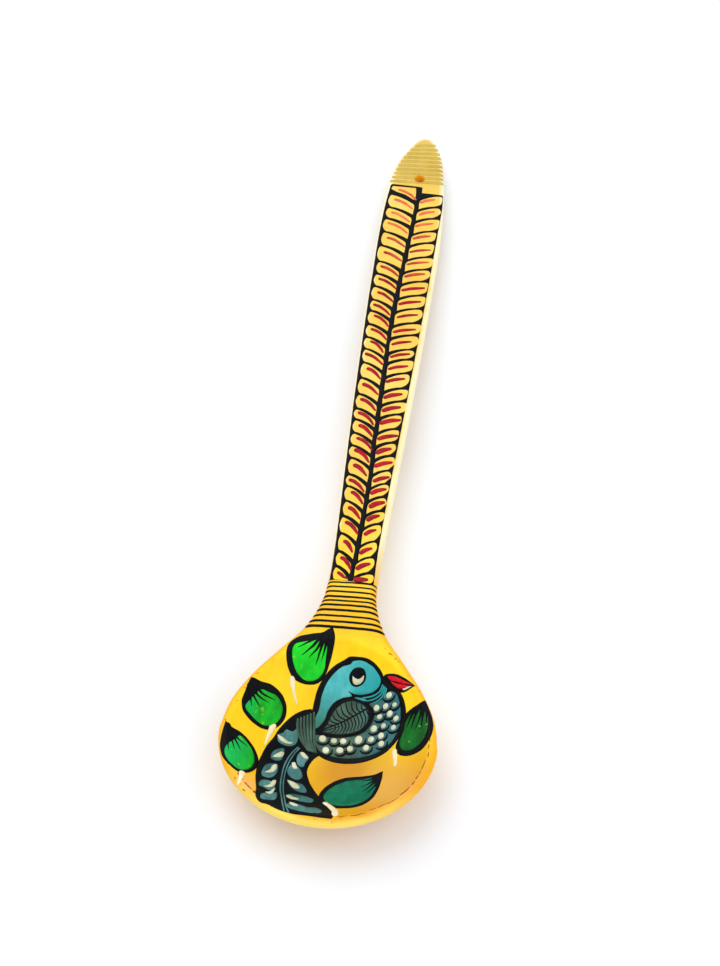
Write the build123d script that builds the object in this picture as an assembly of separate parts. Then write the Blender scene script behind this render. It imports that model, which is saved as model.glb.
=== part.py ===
from build123d import *
import os

os.makedirs("parts", exist_ok=True)

# A carved wooden spoon with a folk painting on its upper side.  Millimetres.
# While it is built, x runs across the spoon, s (the y direction) runs along it from the
# bowl's lip to the handle's tip, and z is up from the table that it lies on.

# ---- driving dimensions ----
LENGTH = 305.0              # lip to tip
BOWL_HALF_WIDTH = 33.9
WIDEST_AT = 30.0            # where the bowl is widest
RIM_HEIGHT = 16.5           # flat rim above the table
RIM_BAND = 2.8              # rim width at the bowl's widest place
HOLLOW_FLOOR = 4.0          # lowest point of the bowl's inside
HOLLOW_END = 66.0           # where the hollow meets the neck
HOLLOW_ROUNDNESS = 2.2      # power of the hollow's wall curve
BACK_DEPTH = 0.4            # the bowl's back would reach this far below the table: sanded flat
BACK_RISE = 16.9            # rise of the bowl's back at a reach of 1
BACK_ROUNDNESS = 2.4
NECK_AT = 70.0              # where the handle begins
NARROWEST_AT = 90.0
NECK_HALF_WIDTH = 7.9
WIDE_HANDLE_AT = 245.0      # the handle's widest place
HANDLE_HALF_WIDTH = 11.7
TIP_X = 0.8                 # the tip is carved slightly off the centre line
TIP_HEIGHT = 6.5            # top of the tip above the table
NECK_THICKNESS = 8.0
TIP_THICKNESS = 6.5
EDGE_ROUND = 1.0            # rounding of the outer top edge
HOLE_AT = (0.4, 281.0)
HOLE_RADIUS = 2.0
PAINT = 0.15                # thickness of a coat of paint
PAINT_MARGIN = 1.1          # paint stops this far inside the spoon's outline, clear of the rounding
BARE_ROUND_HOLE = 0.6       # width of the unpainted ring round the hang hole
SKY = 40.0                  # taller than anything in the part

# ---- the painted pattern's repeats ----
# Height along the spoon of the top of each leaf-shaped opening in the vine.
LEFT_LEAVES = [93.6, 99.6, 107.0, 114.2, 120.8, 127.1, 132.1, 139.3, 144.8, 150.5, 156.5, 161.5,
               168.2, 175.8, 183.2, 189.8, 195.5, 201.8, 208.5, 214.2, 221.0, 227.5, 234.0, 242.3,
               249.8, 257.0, 263.2, 270.6]
RIGHT_LEAVES = [92.2, 98.7, 105.2, 112.5, 118.0, 124.0, 129.7, 135.5, 142.0, 147.8, 154.0, 160.7,
                166.8, 172.8, 180.0, 186.6, 191.5, 198.5, 204.5, 211.8, 218.5, 225.7, 232.0, 238.5,
                246.0, 252.3, 259.3, 265.5, 272.0]
NECK_RINGS = [70.3, 72.5, 74.7, 77.0, 79.0, 80.6, 82.3, 84.3, 86.2, 88.0]
RING_WIDTH = 0.6
FIRST_RING_WIDTH = 0.9
TIP_RINGS_FROM = 278.6
TIP_RING_PITCH = 2.4
TIP_RING_COUNT = 10
TIP_RING_WIDTH = 1.2
VINE_FROM = 88.6
VINE_TO = 276.4
BREAST_DOTS = [(16.5, 50.2, 0.9), (13.0, 46.8, 0.85), (15.8, 47.0, 0.8), (18.6, 47.1, 0.7),
               (14.3, 44.0, 0.8), (17.4, 44.6, 0.85), (19.6, 42.8, 0.8), (13.2, 40.4, 0.9),
               (15.9, 41.0, 0.7), (19.1, 40.0, 0.8), (15.5, 37.8, 0.85), (12.5, 36.8, 1.0),
               (15.9, 35.2, 0.9), (11.3, 34.0, 1.0), (8.6, 36.5, 1.1), (6.3, 33.6, 0.9),
               (4.3, 36.1, 0.9), (3.2, 32.8, 0.95), (0.9, 36.0, 0.85), (-1.2, 32.6, 0.9),
               (-2.6, 35.9, 1.0)]


# ---- the wooden body ----
def mirrored(points, side):
    return [(side * x, s) for x, s in points]


def outline(inset=0.0):
    """The spoon seen from above, shrunk by inset."""
    wide = BOWL_HALF_WIDTH - inset
    neck = NECK_HALF_WIDTH - inset
    grip = HANDLE_HALF_WIDTH - inset
    tip = (TIP_X, LENGTH - inset)
    lip = EllipticalCenterArc((0, WIDEST_AT), wide, WIDEST_AT - inset, start_angle=180, arc_size=180)
    shoulder = [(wide, WIDEST_AT), (31.9 - inset, 40), (27 - inset, 50), (20 - inset, 60),
                (12.8 - inset, NECK_AT), (9 - inset, 80), (neck, NARROWEST_AT)]
    handle = [(neck, NARROWEST_AT), (8.8 - inset, 125), (10.2 - inset, 165), (11.2 - inset, 205),
              (grip, WIDE_HANDLE_AT)]
    right_tip = [(grip, WIDE_HANDLE_AT), (11.4 - inset, 258), (10.6 - inset, 271), (9.5 - inset, 282),
                 (8.0 - inset, 291.5), (5.5 - inset, 299.5), tip]
    left_tip = [(-grip, WIDE_HANDLE_AT), (inset - 11.8, 258), (inset - 11.4, 271), (inset - 10.5, 282),
                (inset - 8.6, 291.5), (inset - 5.0, 299.5), tip]
    edges = [lip]
    for side in (1, -1):
        for points in (shoulder, handle):
            edges.append(Spline(mirrored(points, side), tangents=[(0, 1), (0, 1)]))
    edges.append(Spline(right_tip, tangents=[(0, 1), (-1, 0)]))
    edges.append(Spline(left_tip, tangents=[(0, 1), (1, 0)]))
    return make_face(edges)


def upward(face):
    return extrude(face, amount=SKY, dir=(0, 0, 1))


def below_the_top():
    """Everything under the spoon's top line: level over the bowl, falling to the tip."""
    before, beyond = -10.0, LENGTH + 8
    end = TIP_HEIGHT - 0.5
    level = Line((before, RIM_HEIGHT), (NECK_AT, RIM_HEIGHT))
    fall = Spline((NECK_AT, RIM_HEIGHT), (150, 14.5), (230, 10.8), (LENGTH, TIP_HEIGHT), (beyond, end),
                  tangents=[(1, 0), (1, -0.07)])
    sides = Polyline((beyond, end), (beyond, -2), (before, -2), (before, RIM_HEIGHT))
    profile = Plane.YZ * make_face([level, fall, sides])
    return Pos(-50, 0, 0) * extrude(profile, amount=100)


def smooth_step(t):
    t = min(max(t, 0.0), 1.0)
    return t * t * (3 - 2 * t)


def back_of_bowl(x, s):
    reach = 32.5 if s < WIDEST_AT else 50.0
    q = ((x / 36) ** 2 + ((s - WIDEST_AT) / reach) ** 2) ** 0.5
    return BACK_RISE * q ** BACK_ROUNDNESS - BACK_DEPTH


def underside_of_handle(x, s):
    t = min(max((s - NECK_AT) / (LENGTH - NECK_AT), 0.0), 1.0)
    top = RIM_HEIGHT - (RIM_HEIGHT - TIP_HEIGHT) * t ** 1.5
    thickness = NECK_THICKNESS + (TIP_THICKNESS - NECK_THICKNESS) * t
    return top - thickness + 1.5 * (x / 10) ** 2


def underside(x, s):
    """Height of the spoon's back: a dish that flows into the handle's rounded underside."""
    handle_share = smooth_step((s - 55) / 25)
    return (1 - handle_share) * back_of_bowl(x, s) + handle_share * underside_of_handle(x, s)


def inside_of_bowl(x, s):
    near = s < WIDEST_AT
    reach = WIDEST_AT - RIM_BAND if near else HOLLOW_END - WIDEST_AT
    power = 2.0 if near else 1.8
    across = abs(x) / (BOWL_HALF_WIDTH - RIM_BAND)
    along = abs(s - WIDEST_AT) / reach
    r = (across ** power + along ** power) ** (1 / power)
    return HOLLOW_FLOOR + (RIM_HEIGHT - HOLLOW_FLOOR) * r ** HOLLOW_ROUNDNESS


def all_above(height, across, along):
    """The space above a smooth surface given by a height formula."""
    grid = [[(x, s, height(x, s)) for s in along] for x in across]
    return extrude(Face.make_surface_from_array_of_points(grid), amount=60, dir=(0, 0, 1))


def carved_body():
    back_across = [4.0 * i for i in range(-10, 11)]
    back_along = [-8 + 5.0 * i for i in range(18)] + [85 + 8.0 * i for i in range(30)]
    hollow_across = [3.6 * i for i in range(-10, 11)]
    hollow_along = [-2 + 4.0 * i for i in range(20)]
    blank = upward(outline()) & below_the_top()
    blank = blank & all_above(underside, back_across, back_along)
    dished = blank - all_above(inside_of_bowl, hollow_across, hollow_along)
    rounded = fillet(outer_top_edges(dished), EDGE_ROUND)
    x, s = HOLE_AT
    return rounded - Pos(x, s, 0) * Cylinder(HOLE_RADIUS, 2 * SKY)


def is_hollow_edge(edge):
    """Whether an edge is where the flat rim turns down into the bowl."""
    middle = edge @ 0.5
    on_rim = abs(middle.Z - RIM_HEIGHT) < 0.01
    return on_rim and abs(inside_of_bowl(middle.X, middle.Y) - RIM_HEIGHT) < 0.2


def outer_top_edges(solid):
    """The edges where the top meets the upright sides."""
    tops = [f for f in solid.faces() if f.normal_at().Z > 0.9 and f.center().Z > TIP_HEIGHT]
    found = []
    for edge in solid.edges():
        middle = edge @ 0.5
        lies_along = edge.bounding_box().size.Y > 1
        on_top = any(Vertex(middle.X, middle.Y, middle.Z).distance_to(f) < 1e-4 for f in tops)
        if lies_along and on_top and not is_hollow_edge(edge):
            found.append(edge)
    return found


# ---- shapes that the brush makes, drawn flat ----
def blob(*points):
    """A smooth closed patch."""
    return make_face(Spline(points, periodic=True))


def pointed(*points):
    """A smooth patch with one sharp corner, at the first point."""
    return make_face(Spline(points + points[:1]))


def brush(points, width, tail=None):
    """A brush stroke along a smooth curve, as wide as width and narrowing to tail at its end."""
    tail = width if tail is None else tail
    path = Spline(points)
    steps = 3 * len(points)
    left, right = [], []
    for i in range(steps + 1):
        t = i / steps
        place, ahead = path @ t, path % t
        half = 0.5 * (width + (tail - width) * t ** 2)
        across = Vector(-ahead.Y, ahead.X, 0) * half
        left.append(place + across)
        right.append(place - across)
    sides = [Spline(left), Spline(right), Line(left[0], right[0]), Line(left[-1], right[-1])]
    return make_face(sides)


def joined(faces):
    total = faces[0]
    for face in faces[1:]:
        total = total + face
    return total


def between(low, high, t):
    return low + (high - low) * t


def stem_x(s):
    """The vine's stem wanders a little across the handle."""
    places = [(88, -0.9), (115, 0.0), (130, 0.3), (165, -0.6), (205, -1.3), (230, -0.5), (277, 0.9)]
    for (s0, x0), (s1, x1) in zip(places, places[1:]):
        if s <= s1:
            return between(x0, x1, max(0.0, (s - s0) / (s1 - s0)))
    return places[-1][1]


def half_width(s):
    places = [(NARROWEST_AT, 7.9), (125, 8.8), (165, 10.2), (205, 11.2), (WIDE_HANDLE_AT, 11.7),
              (277, 10.2)]
    for (s0, w0), (s1, w1) in zip(places, places[1:]):
        if s <= s1:
            return between(w0, w1, max(0.0, (s - s0) / (s1 - s0)))
    return places[-1][1]


def left_leaf(top):
    """An opening that sweeps from a blunt end at the left down to the stem."""
    stem = stem_x(top - 5) - 0.9
    edge = 1.9 - half_width(top)
    return pointed((stem, top - 7.4), (between(edge, stem, 0.5), top - 5.4), (edge, top - 4.2),
                   (edge - 0.3, top - 1.4), (edge + 1.3, top), (between(edge, stem, 0.6), top - 1.7),
                   (stem - 0.3, top - 4.4))


def right_leaf(top):
    """An opening that sweeps from the stem up to the right-hand margin."""
    stem = stem_x(top - 3) + 0.9
    edge = half_width(top) - 2.1
    return pointed((stem, top - 5.9), (stem + 0.2, top - 3.4), (stem + 2.2, top - 0.9),
                   (between(stem, edge, 0.7), top), (edge, top - 0.9), (edge - 0.2, top - 2.7),
                   (between(stem, edge, 0.6), top - 3.9))


def left_mark(top):
    stem = stem_x(top - 5) - 1.4
    edge = 3.6 - half_width(top)
    return brush([(edge, top - 1.7), (between(edge, stem, 0.5), top - 2.9), (stem, top - 5.4)], 1.0, 0.5)


def right_mark(top):
    stem = stem_x(top - 3) + 1.9
    edge = half_width(top) - 3.1
    return brush([(stem, top - 3.7), (between(stem, edge, 0.4), top - 2.3), (edge, top - 1.6)], 1.0, 0.7)


def vine_ground(leaves):
    """The dark strip along the handle, with an opening for each leaf."""
    left = [(0.7 - half_width(s), s) for s in (VINE_FROM, 125, 165, 205, 245, VINE_TO)]
    right = [(half_width(s) - 1.7, s) for s in (VINE_FROM, 125, 165, 205, 245, VINE_TO)]
    ends = [Line(left[0], right[0]), Line(left[-1], right[-1])]
    strip = make_face([Polyline(left), Polyline(right)] + ends)
    for leaf in leaves:
        strip = strip - leaf
    return strip


def ring(s, width):
    half = BOWL_HALF_WIDTH if s < NECK_AT else 14.0
    return brush([(-half, s - 1.5), (-4, s), (4, s + 0.2), (half, s - 1.5)], width)


def tip_ring(s):
    return brush([(-14, s - 1.0), (0, s), (14, s + 0.8)], TIP_RING_WIDTH)


# ---- the five leaves in the bowl: outer line, green inside, and hatching from the tip ----
def painted_leaves():
    """For each leaf: its dark outer shape, its green inside and the dark hatching across it."""
    return {
        "top": (
            pointed((-4.4, 69.4), (-2.6, 66), (-3.4, 60), (-4.9, 54.5), (-10.5, 51.9), (-16, 54.8),
                    (-17.3, 60), (-15, 65), (-9, 67.3)),
            blob((-5.6, 64), (-5, 60), (-6, 55.3), (-10, 53.2), (-14, 55.5), (-15.4, 60), (-13, 63.4),
                 (-9, 64.4)),
            [[(-6, 65.5), (-6.2, 61), (-7, 58)], [(-7, 66), (-8, 61.5), (-9.3, 59)],
             [(-8, 66), (-9.8, 63), (-11.8, 61)]],
        ),
        "middle": (
            pointed((-27, 48.6), (-21, 48.4), (-16.2, 46), (-14.9, 42), (-17, 36.6), (-21.5, 34.4),
                    (-27, 36.6), (-28.4, 40.5), (-27.6, 45)),
            blob((-23.5, 45.6), (-19, 46.2), (-16.4, 43.5), (-16.6, 39), (-20.5, 35.8), (-25.5, 37.2),
                 (-27, 40), (-25.6, 43.5)),
            [[(-26, 47), (-22.5, 45.7), (-19.5, 45)], [(-26.2, 46.4), (-23.5, 43.5), (-21.7, 42)],
             [(-26.6, 45.8), (-25.2, 42.6), (-24.6, 40)]],
        ),
        "left": (
            pointed((-31.6, 31.6), (-27.5, 30.4), (-22.8, 27.4), (-20.7, 22.6), (-22.2, 17.2),
                    (-25.5, 15), (-30, 18), (-32.4, 23), (-32.4, 27.5)),
            blob((-27.3, 28.6), (-23.8, 26.4), (-22, 22), (-23.2, 17.6), (-25.8, 16.2), (-29.3, 18.4),
                 (-30.7, 21.6), (-29.4, 25.6)),
            [[(-30.6, 30.2), (-28.5, 27.5), (-27.2, 25)], [(-30, 30.3), (-26.8, 28.2), (-25.2, 26.4)],
             [(-31, 29.6), (-30.1, 26.4), (-29.6, 24)]],
        ),
        "right": (
            pointed((28.4, 47.2), (25, 45.1), (22.6, 43), (21.7, 38), (21, 33.5), (22.8, 30.2),
                    (26, 29.5), (30, 32), (31.5, 37.5), (30.6, 43)),
            blob((25.5, 43.6), (23.2, 41.6), (22.6, 37.6), (21.9, 33.8), (25, 31.3), (28.6, 33.2),
                 (30, 38), (28.6, 43)),
            [[(27.8, 45.4), (26, 42), (25.2, 39)], [(28.2, 45), (27.2, 41), (26.8, 38)],
             [(27, 45), (24.8, 42.4), (23.8, 40)]],
        ),
        "lower": (
            pointed((17.6, 25), (12.5, 23.7), (6.5, 22.9), (1.5, 19.3), (-0.7, 14.2), (2, 9.9), (8, 8.7),
                    (13.5, 10.6), (16.8, 16.5), (17.5, 21)),
            blob((14.6, 22.2), (9, 21.9), (4, 19.6), (1, 15.6), (2.6, 11.3), (7.5, 10.1), (12.6, 11.7),
                 (15.4, 16), (15.9, 20)),
            [[(16.6, 23.2), (13.8, 21), (11.6, 18.8)], [(16.8, 22.6), (15, 19.4), (13.8, 17)],
             [(17, 22), (16.2, 18.4), (15.8, 16)]],
        ),
    }


# ---- the bird ----
def bird_silhouette():
    """Head, breast and wing, out to the outside of the dark outline."""
    return pointed((-7.1, 45), (-6.5, 50), (-4.9, 55), (-1.5, 59.4), (3, 61.6), (8, 61.2), (12, 58.6),
                   (14.8, 55.6), (17.5, 53.2), (20.4, 50.8), (22.4, 46), (22.5, 41), (20.6, 35.5),
                   (16.2, 31.2), (10, 28.8), (3, 28.3), (-3, 30), (-7.2, 33.5), (-7.6, 39))


def head_and_neck():
    return blob((-5, 45.5), (-4.7, 51), (-2.3, 56.4), (2, 59.9), (7, 60.3), (11.6, 57.8), (13.1, 54.6),
                (11, 51.7), (6, 51.5), (1.5, 50.2), (-2, 46.8), (-4, 41.5), (-5.4, 41.3))


def throat():
    return blob((4.3, 50.4), (8.5, 50.5), (12.6, 51.3), (14.4, 53.6), (15, 51.8), (13.8, 49.3), (11, 48.2),
                (8, 49.3))


def breast():
    return blob((15.6, 52), (18.6, 50.2), (20.6, 45.5), (20.6, 40.5), (18.6, 35.4), (14, 32), (8, 30.4),
                (1.5, 30.4), (-3.4, 32.4), (-5, 36.2), (0.5, 37), (6, 37.4), (11, 40.4), (12.7, 44.5),
                (11.8, 47.7), (14.6, 49))


def wing():
    return pointed((-5, 38.4), (-2.3, 41), (-0.8, 45), (2.3, 48.5), (6.5, 48.9), (10, 46.6), (10.8, 43.6),
                   (8.8, 40.7), (4.5, 39.1), (0, 38.5))


def wing_barbs():
    """The midrib, then a fan of curved barbs on each side of it."""
    strokes = [brush([(-5, 38.2), (0.5, 41), (5.2, 43.6), (10, 46.6)], 0.5)]
    for i in range(6):
        x = between(-1.5, 7.5, i / 5)
        s = between(40.6, 45.6, i / 5)
        strokes.append(brush([(x, s), (x + 0.1 - 0.25 * i, s + 1.3), (x - 0.2 - 0.5 * i, s + 2.7)], 0.35))
    for i in range(7):
        x = between(-0.5, 8.8, i / 6)
        s = between(40.2, 45.4, i / 6)
        strokes.append(brush([(x, s), (x + 0.9, s - 0.8), (x + 1.0, s - 1.6 - 0.35 * i)], 0.35))
    return strokes


def collar():
    """Three curved bands where the body meets the tail."""
    bands = []
    for i in range(3):
        shift = 1.15 * i
        path = [(-11 + shift, 40.4 + 0.7 * i), (-10.5 + shift, 36.6), (-8.6 + 0.9 * shift, 33.2)]
        bands.append(brush(path, 0.6))
    return bands


def collar_ground():
    return blob((-12.4, 41), (-9.5, 43.6), (-6.9, 44.4), (-6.6, 39), (-4.6, 33.6), (-5.6, 30.8), (-8.6, 31),
                (-11, 36))


def tail_silhouette():
    return pointed((-9, 44.6), (-14, 39.8), (-17.6, 33.6), (-20, 26), (-20.6, 18.6), (-19.6, 11),
                   (-17.6, 5.6), (-11, 3.3), (-4, 2.7), (4.6, 3), (3.2, 7.8), (-0.6, 13.8), (-4.2, 18.6),
                   (-6, 23.6), (-5, 27.6), (-3.6, 30.4), (-7, 36))


def tail_ribs():
    left = brush([(-10.2, 31.4), (-12.3, 27.5), (-13.3, 22), (-12.7, 14), (-10.9, 7.5), (-9.8, 4)], 0.35)
    right = brush([(-9.6, 31.4), (-11.5, 27.5), (-12.5, 22), (-11.9, 14), (-10.1, 7.5), (-9, 4)], 0.35)
    return [left, right]


def tail_feathers():
    return [
        blob((-16, 32.3), (-14.8, 35.8), (-12.4, 36.6), (-10.8, 36.4), (-10.8, 33), (-13, 31.4)),
        blob((-17, 25.6), (-16.8, 28.4), (-14.2, 29.9), (-13.8, 27), (-14.8, 25.3)),
        blob((-18.6, 17.4), (-18.8, 21.3), (-16.8, 23.5), (-15, 23.2), (-14.8, 20), (-16.3, 17.6)),
        blob((-18.6, 12.4), (-18.4, 15.4), (-15, 15.8), (-14, 13.6), (-15.4, 11.8)),
        blob((-17, 6.9), (-16.6, 9.6), (-14.2, 11), (-13.2, 9), (-14, 6.7)),
        blob((-9, 29.6), (-6.6, 28.6), (-7, 25.4), (-8.6, 25.2), (-9.6, 27.4)),
        blob((-11.3, 24.6), (-9, 24.6), (-7.4, 21.6), (-8.6, 19.8), (-11, 20.6), (-11.6, 22.6)),
        blob((-10.8, 18.4), (-7.5, 18.3), (-5, 16.4), (-5.6, 14.7), (-8.8, 15)),
        blob((-9.8, 12.2), (-6, 12.9), (-2.6, 12.2), (-3, 10.3), (-8, 10.3)),
        blob((-9, 6.8), (-5.5, 7.9), (-0.5, 7.6), (1.2, 6), (-1.6, 4.4), (-7, 4.5)),
    ]


def tail_highlights():
    """One light comma of paint on each feather."""
    return [
        brush([(-16, 33.9), (-14.2, 32.9), (-11.9, 33.2)], 1.1, 0.5),
        brush([(-14.1, 28.9), (-15.4, 27.9), (-16.7, 26.1)], 1.0, 0.5),
        brush([(-15.5, 22.9), (-16.2, 21.3), (-17.9, 19.3)], 1.2, 0.5),
        brush([(-14.9, 15.2), (-15.4, 13.9), (-17, 12.9)], 1.0, 0.5),
        brush([(-14.4, 10.4), (-15, 9.4), (-15.9, 8.6)], 1.0, 0.5),
        brush([(-8.9, 29.2), (-7.9, 28.4), (-6.9, 28.3)], 0.9, 0.5),
        brush([(-10.9, 24.3), (-10.3, 23.6), (-9.3, 23.3)], 1.0, 0.5),
        brush([(-10.3, 17.9), (-9.1, 16.7), (-7.1, 15.9)], 1.2, 0.5),
        brush([(-9.6, 11.8), (-8.4, 11), (-6.2, 10.9)], 1.1, 0.5),
        brush([(-8.5, 7), (-7.6, 6.6), (-6.3, 6.3)], 0.9, 0.5),
    ]


def beak():
    upper = Polyline((23.2, 52.2), (19.4, 53.4), (17.4, 54.6), (15.2, 55.7), (16.4, 53.9), (19, 52.6),
                     close=True)
    lower = Polyline((22.2, 51.8), (19.4, 52.1), (17.2, 53), (18.8, 51.6), (20.6, 51.3), close=True)
    return [make_face(upper), make_face(lower)]


def beak_line():
    return pointed((24.4, 51.8), (20.6, 53.9), (18.6, 55.6), (15.8, 56.5), (14, 55.8), (16, 53.2),
                   (18.6, 50.8), (21.6, 50.4))


def light_dashes():
    return [
        brush([(-14.6, 52.4), (-13.7, 49.4), (-12.3, 46.2)], 1.1, 0.4),
        brush([(-18.3, 36.8), (-18.9, 34), (-19.6, 30.4)], 1.1, 0.4),
        brush([(-24.3, 14.9), (-24.3, 12.6), (-24.6, 10.4)], 1.1, 0.4),
        brush([(20.3, 32), (21, 29.4), (21.2, 26.8)], 1.1, 0.5),
        brush([(1.4, 11.2), (4.6, 7.8), (5.9, 4.6)], 1.3, 1.0),
    ]


# ---- laying the paint ----
def lay(groups):
    """Coats of paint on the spoon's upper skin, one solid for each patch of the drawing."""
    coats = []
    for group in groups:
        for face in (group & window).faces():
            column = upward(face) & raised_body
            coats += (column - body).solids()
    return coats


def save(name, solids):
    placed = [Pos(0, -LENGTH / 2, 0) * solid for solid in solids]
    export_step(placed[0] if len(placed) == 1 else Compound(placed), f"parts/{name}.step")


def without(faces, cuts):
    return [joined(faces) - joined(cuts)]


body = carved_body()
window = outline(PAINT_MARGIN)
raised_body = Pos(0, 0, PAINT) * body

leaf_holes = [left_leaf(top) for top in LEFT_LEAVES] + [right_leaf(top) for top in RIGHT_LEAVES]
left_marks = [left_mark(top) for top in LEFT_LEAVES]
right_marks = [right_mark(top) for top in RIGHT_LEAVES]
rings = [ring(s, FIRST_RING_WIDTH if s == NECK_RINGS[0] else RING_WIDTH) for s in NECK_RINGS]
around_hole = Pos(*HOLE_AT) * Circle(HOLE_RADIUS + BARE_ROUND_HOLE)
tip_rings = [tip_ring(TIP_RINGS_FROM + TIP_RING_PITCH * i) - around_hole for i in range(TIP_RING_COUNT)]

eye = Pos(5.8, 56) * Circle(2.6)
eye_glint = Pos(6, 55.4) * Circle(1.5) - Pos(6, 56.7) * Circle(1.3)
dots = [Pos(x, s) * Circle(r) for x, s, r in BREAST_DOTS]
barbs = wing_barbs()
feathers = tail_feathers()
highlights = tail_highlights()
ribs = tail_ribs()
bands = collar()

silhouette = bird_silhouette()
bird_fills = joined([head_and_neck(), throat(), breast(), wing()] + beak())
collar_patch = collar_ground() - silhouette
tail = tail_silhouette() - silhouette - collar_patch
painted_before = silhouette + tail_silhouette()
leaves = painted_leaves()
leaf_outlines = joined([outer for outer, green, hatching in leaves.values()])

films = {
    "handle_vine_ground": [vine_ground(leaf_holes)],
    "handle_red_strokes_left": left_marks,
    "handle_red_strokes_right": right_marks,
    "neck_rings": [joined(rings) - leaf_outlines],
    "tip_rings": tip_rings,
    "bird_head_and_neck": without([head_and_neck()], [eye]),
    "bird_throat": [throat()],
    "bird_breast": without([breast()], dots),
    "bird_breast_dots": dots,
    "bird_wing": without([wing()], barbs),
    "bird_wing_barbs": [joined(barbs) & wing()],
    "bird_eye": [eye - eye_glint],
    "bird_eye_glint": [eye_glint],
    "bird_beak": beak(),
    "bird_beak_outline": without([beak_line() - silhouette], beak()),
    "bird_outline": [silhouette - bird_fills],
    "bird_collar_bands": [joined(bands) & collar_patch],
    "bird_collar_ground": [collar_patch - joined(bands)],
    "tail_ground": [tail - joined(feathers + ribs)],
    "tail_feathers": [joined(feathers) - joined(highlights) - silhouette - collar_patch],
    "tail_feather_highlights": [joined(highlights) & joined(feathers)],
    "tail_ribs": ribs,
    "light_dashes": [joined(light_dashes()) - tail_silhouette() - leaf_outlines],
}

for place, (outer, green, hatching) in leaves.items():
    hatch = joined([brush(points, 0.7, 0.25) for points in hatching])
    films[f"leaf_{place}_green"] = [green - hatch - painted_before]
    films[f"leaf_{place}_outline"] = [(outer - (green - hatch)) - painted_before]

save("wooden_body", [body])
for name, faces in films.items():
    save(name, lay(faces))
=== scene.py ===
import math
import random

import bmesh
import bpy
import numpy as np
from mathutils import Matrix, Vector, geometry, noise


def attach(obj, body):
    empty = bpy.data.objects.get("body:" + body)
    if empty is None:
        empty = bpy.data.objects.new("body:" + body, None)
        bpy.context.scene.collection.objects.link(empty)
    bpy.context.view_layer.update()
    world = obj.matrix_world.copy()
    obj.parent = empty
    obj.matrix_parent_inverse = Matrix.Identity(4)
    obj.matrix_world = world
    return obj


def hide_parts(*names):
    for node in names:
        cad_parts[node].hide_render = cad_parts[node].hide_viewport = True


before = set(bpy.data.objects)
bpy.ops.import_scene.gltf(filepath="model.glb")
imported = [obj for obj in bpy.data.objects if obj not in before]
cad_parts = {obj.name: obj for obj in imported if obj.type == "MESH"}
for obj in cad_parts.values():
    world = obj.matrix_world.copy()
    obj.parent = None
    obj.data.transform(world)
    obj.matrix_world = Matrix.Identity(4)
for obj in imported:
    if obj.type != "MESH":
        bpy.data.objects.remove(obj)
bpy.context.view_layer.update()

# ---- sizes of the spoon, in millimetres; s runs along it from the bowl's lip ----
MM = 0.001
LENGTH = 305.0
BOWL_HALF_WIDTH = 33.9
WIDEST_AT = 30.0
RIM_HEIGHT = 16.5
TIP_HEIGHT = 6.5
RIM_BAND = 2.8           # width of the rim outside the hollow
HOLLOW_FLOOR = 4.0       # the wood left under the hollow
HOLLOW_END = 66.0
NECK_AT = 70.0
NECK_THICKNESS = 8.0
TIP_THICKNESS = 6.5
TOP_ROUND = 1.3          # rounding of the upper edge
BACK_ROUND = 0.9         # rounding of the lower edge
HOLLOW_SOFTNESS = 0.55   # how softly the rim turns into the hollow
HOLE_AT = (0.4, 281.0)
HOLE_RADIUS = 2.0
GRID = 0.8               # spacing of the points inside a patch of paint
STEP = 0.3               # spacing of the points along its edge
EDGE_DROP = 0.025        # how much lower a coat's edge lies than its middle
SUNK = 0.08              # how far a coat reaches into the wood, so that no gap shows
CLOSE_COAT = 0.74        # share of its lift that a coat keeps on the spoon's highest parts
OVERLAP_STEP = 0.004     # difference in height between patches that overlap there
LEAST_GAP_SQUARED = 0.03  # least distance of an inner point from a patch's edge, squared
VINE_START = 88.2
VINE_END = 276.0

LEFT_LEAVES = [93.6, 99.6, 107.0, 114.2, 120.8, 127.1, 132.1, 139.3, 144.8, 150.5, 156.5, 161.5,
               168.2, 175.8, 183.2, 189.8, 195.5, 201.8, 208.5, 214.2, 221.0, 227.5, 234.0, 242.3,
               249.8, 257.0, 263.2, 270.6]
RIGHT_LEAVES = [92.2, 98.7, 105.2, 112.5, 118.0, 124.0, 129.7, 135.5, 142.0, 147.8, 154.0, 160.7,
                166.8, 172.8, 180.0, 186.6, 191.5, 198.5, 204.5, 211.8, 218.5, 225.7, 232.0, 238.5,
                246.0, 252.3, 259.3, 265.5, 272.0]
NECK_RINGS = [(70.4, 1.05), (72.5, 0.85), (74.7, 0.75), (77.0, 0.9), (79.0, 0.8), (80.7, 0.65),
              (82.3, 0.8), (84.3, 0.7), (86.2, 0.6), (87.9, 0.6)]


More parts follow.
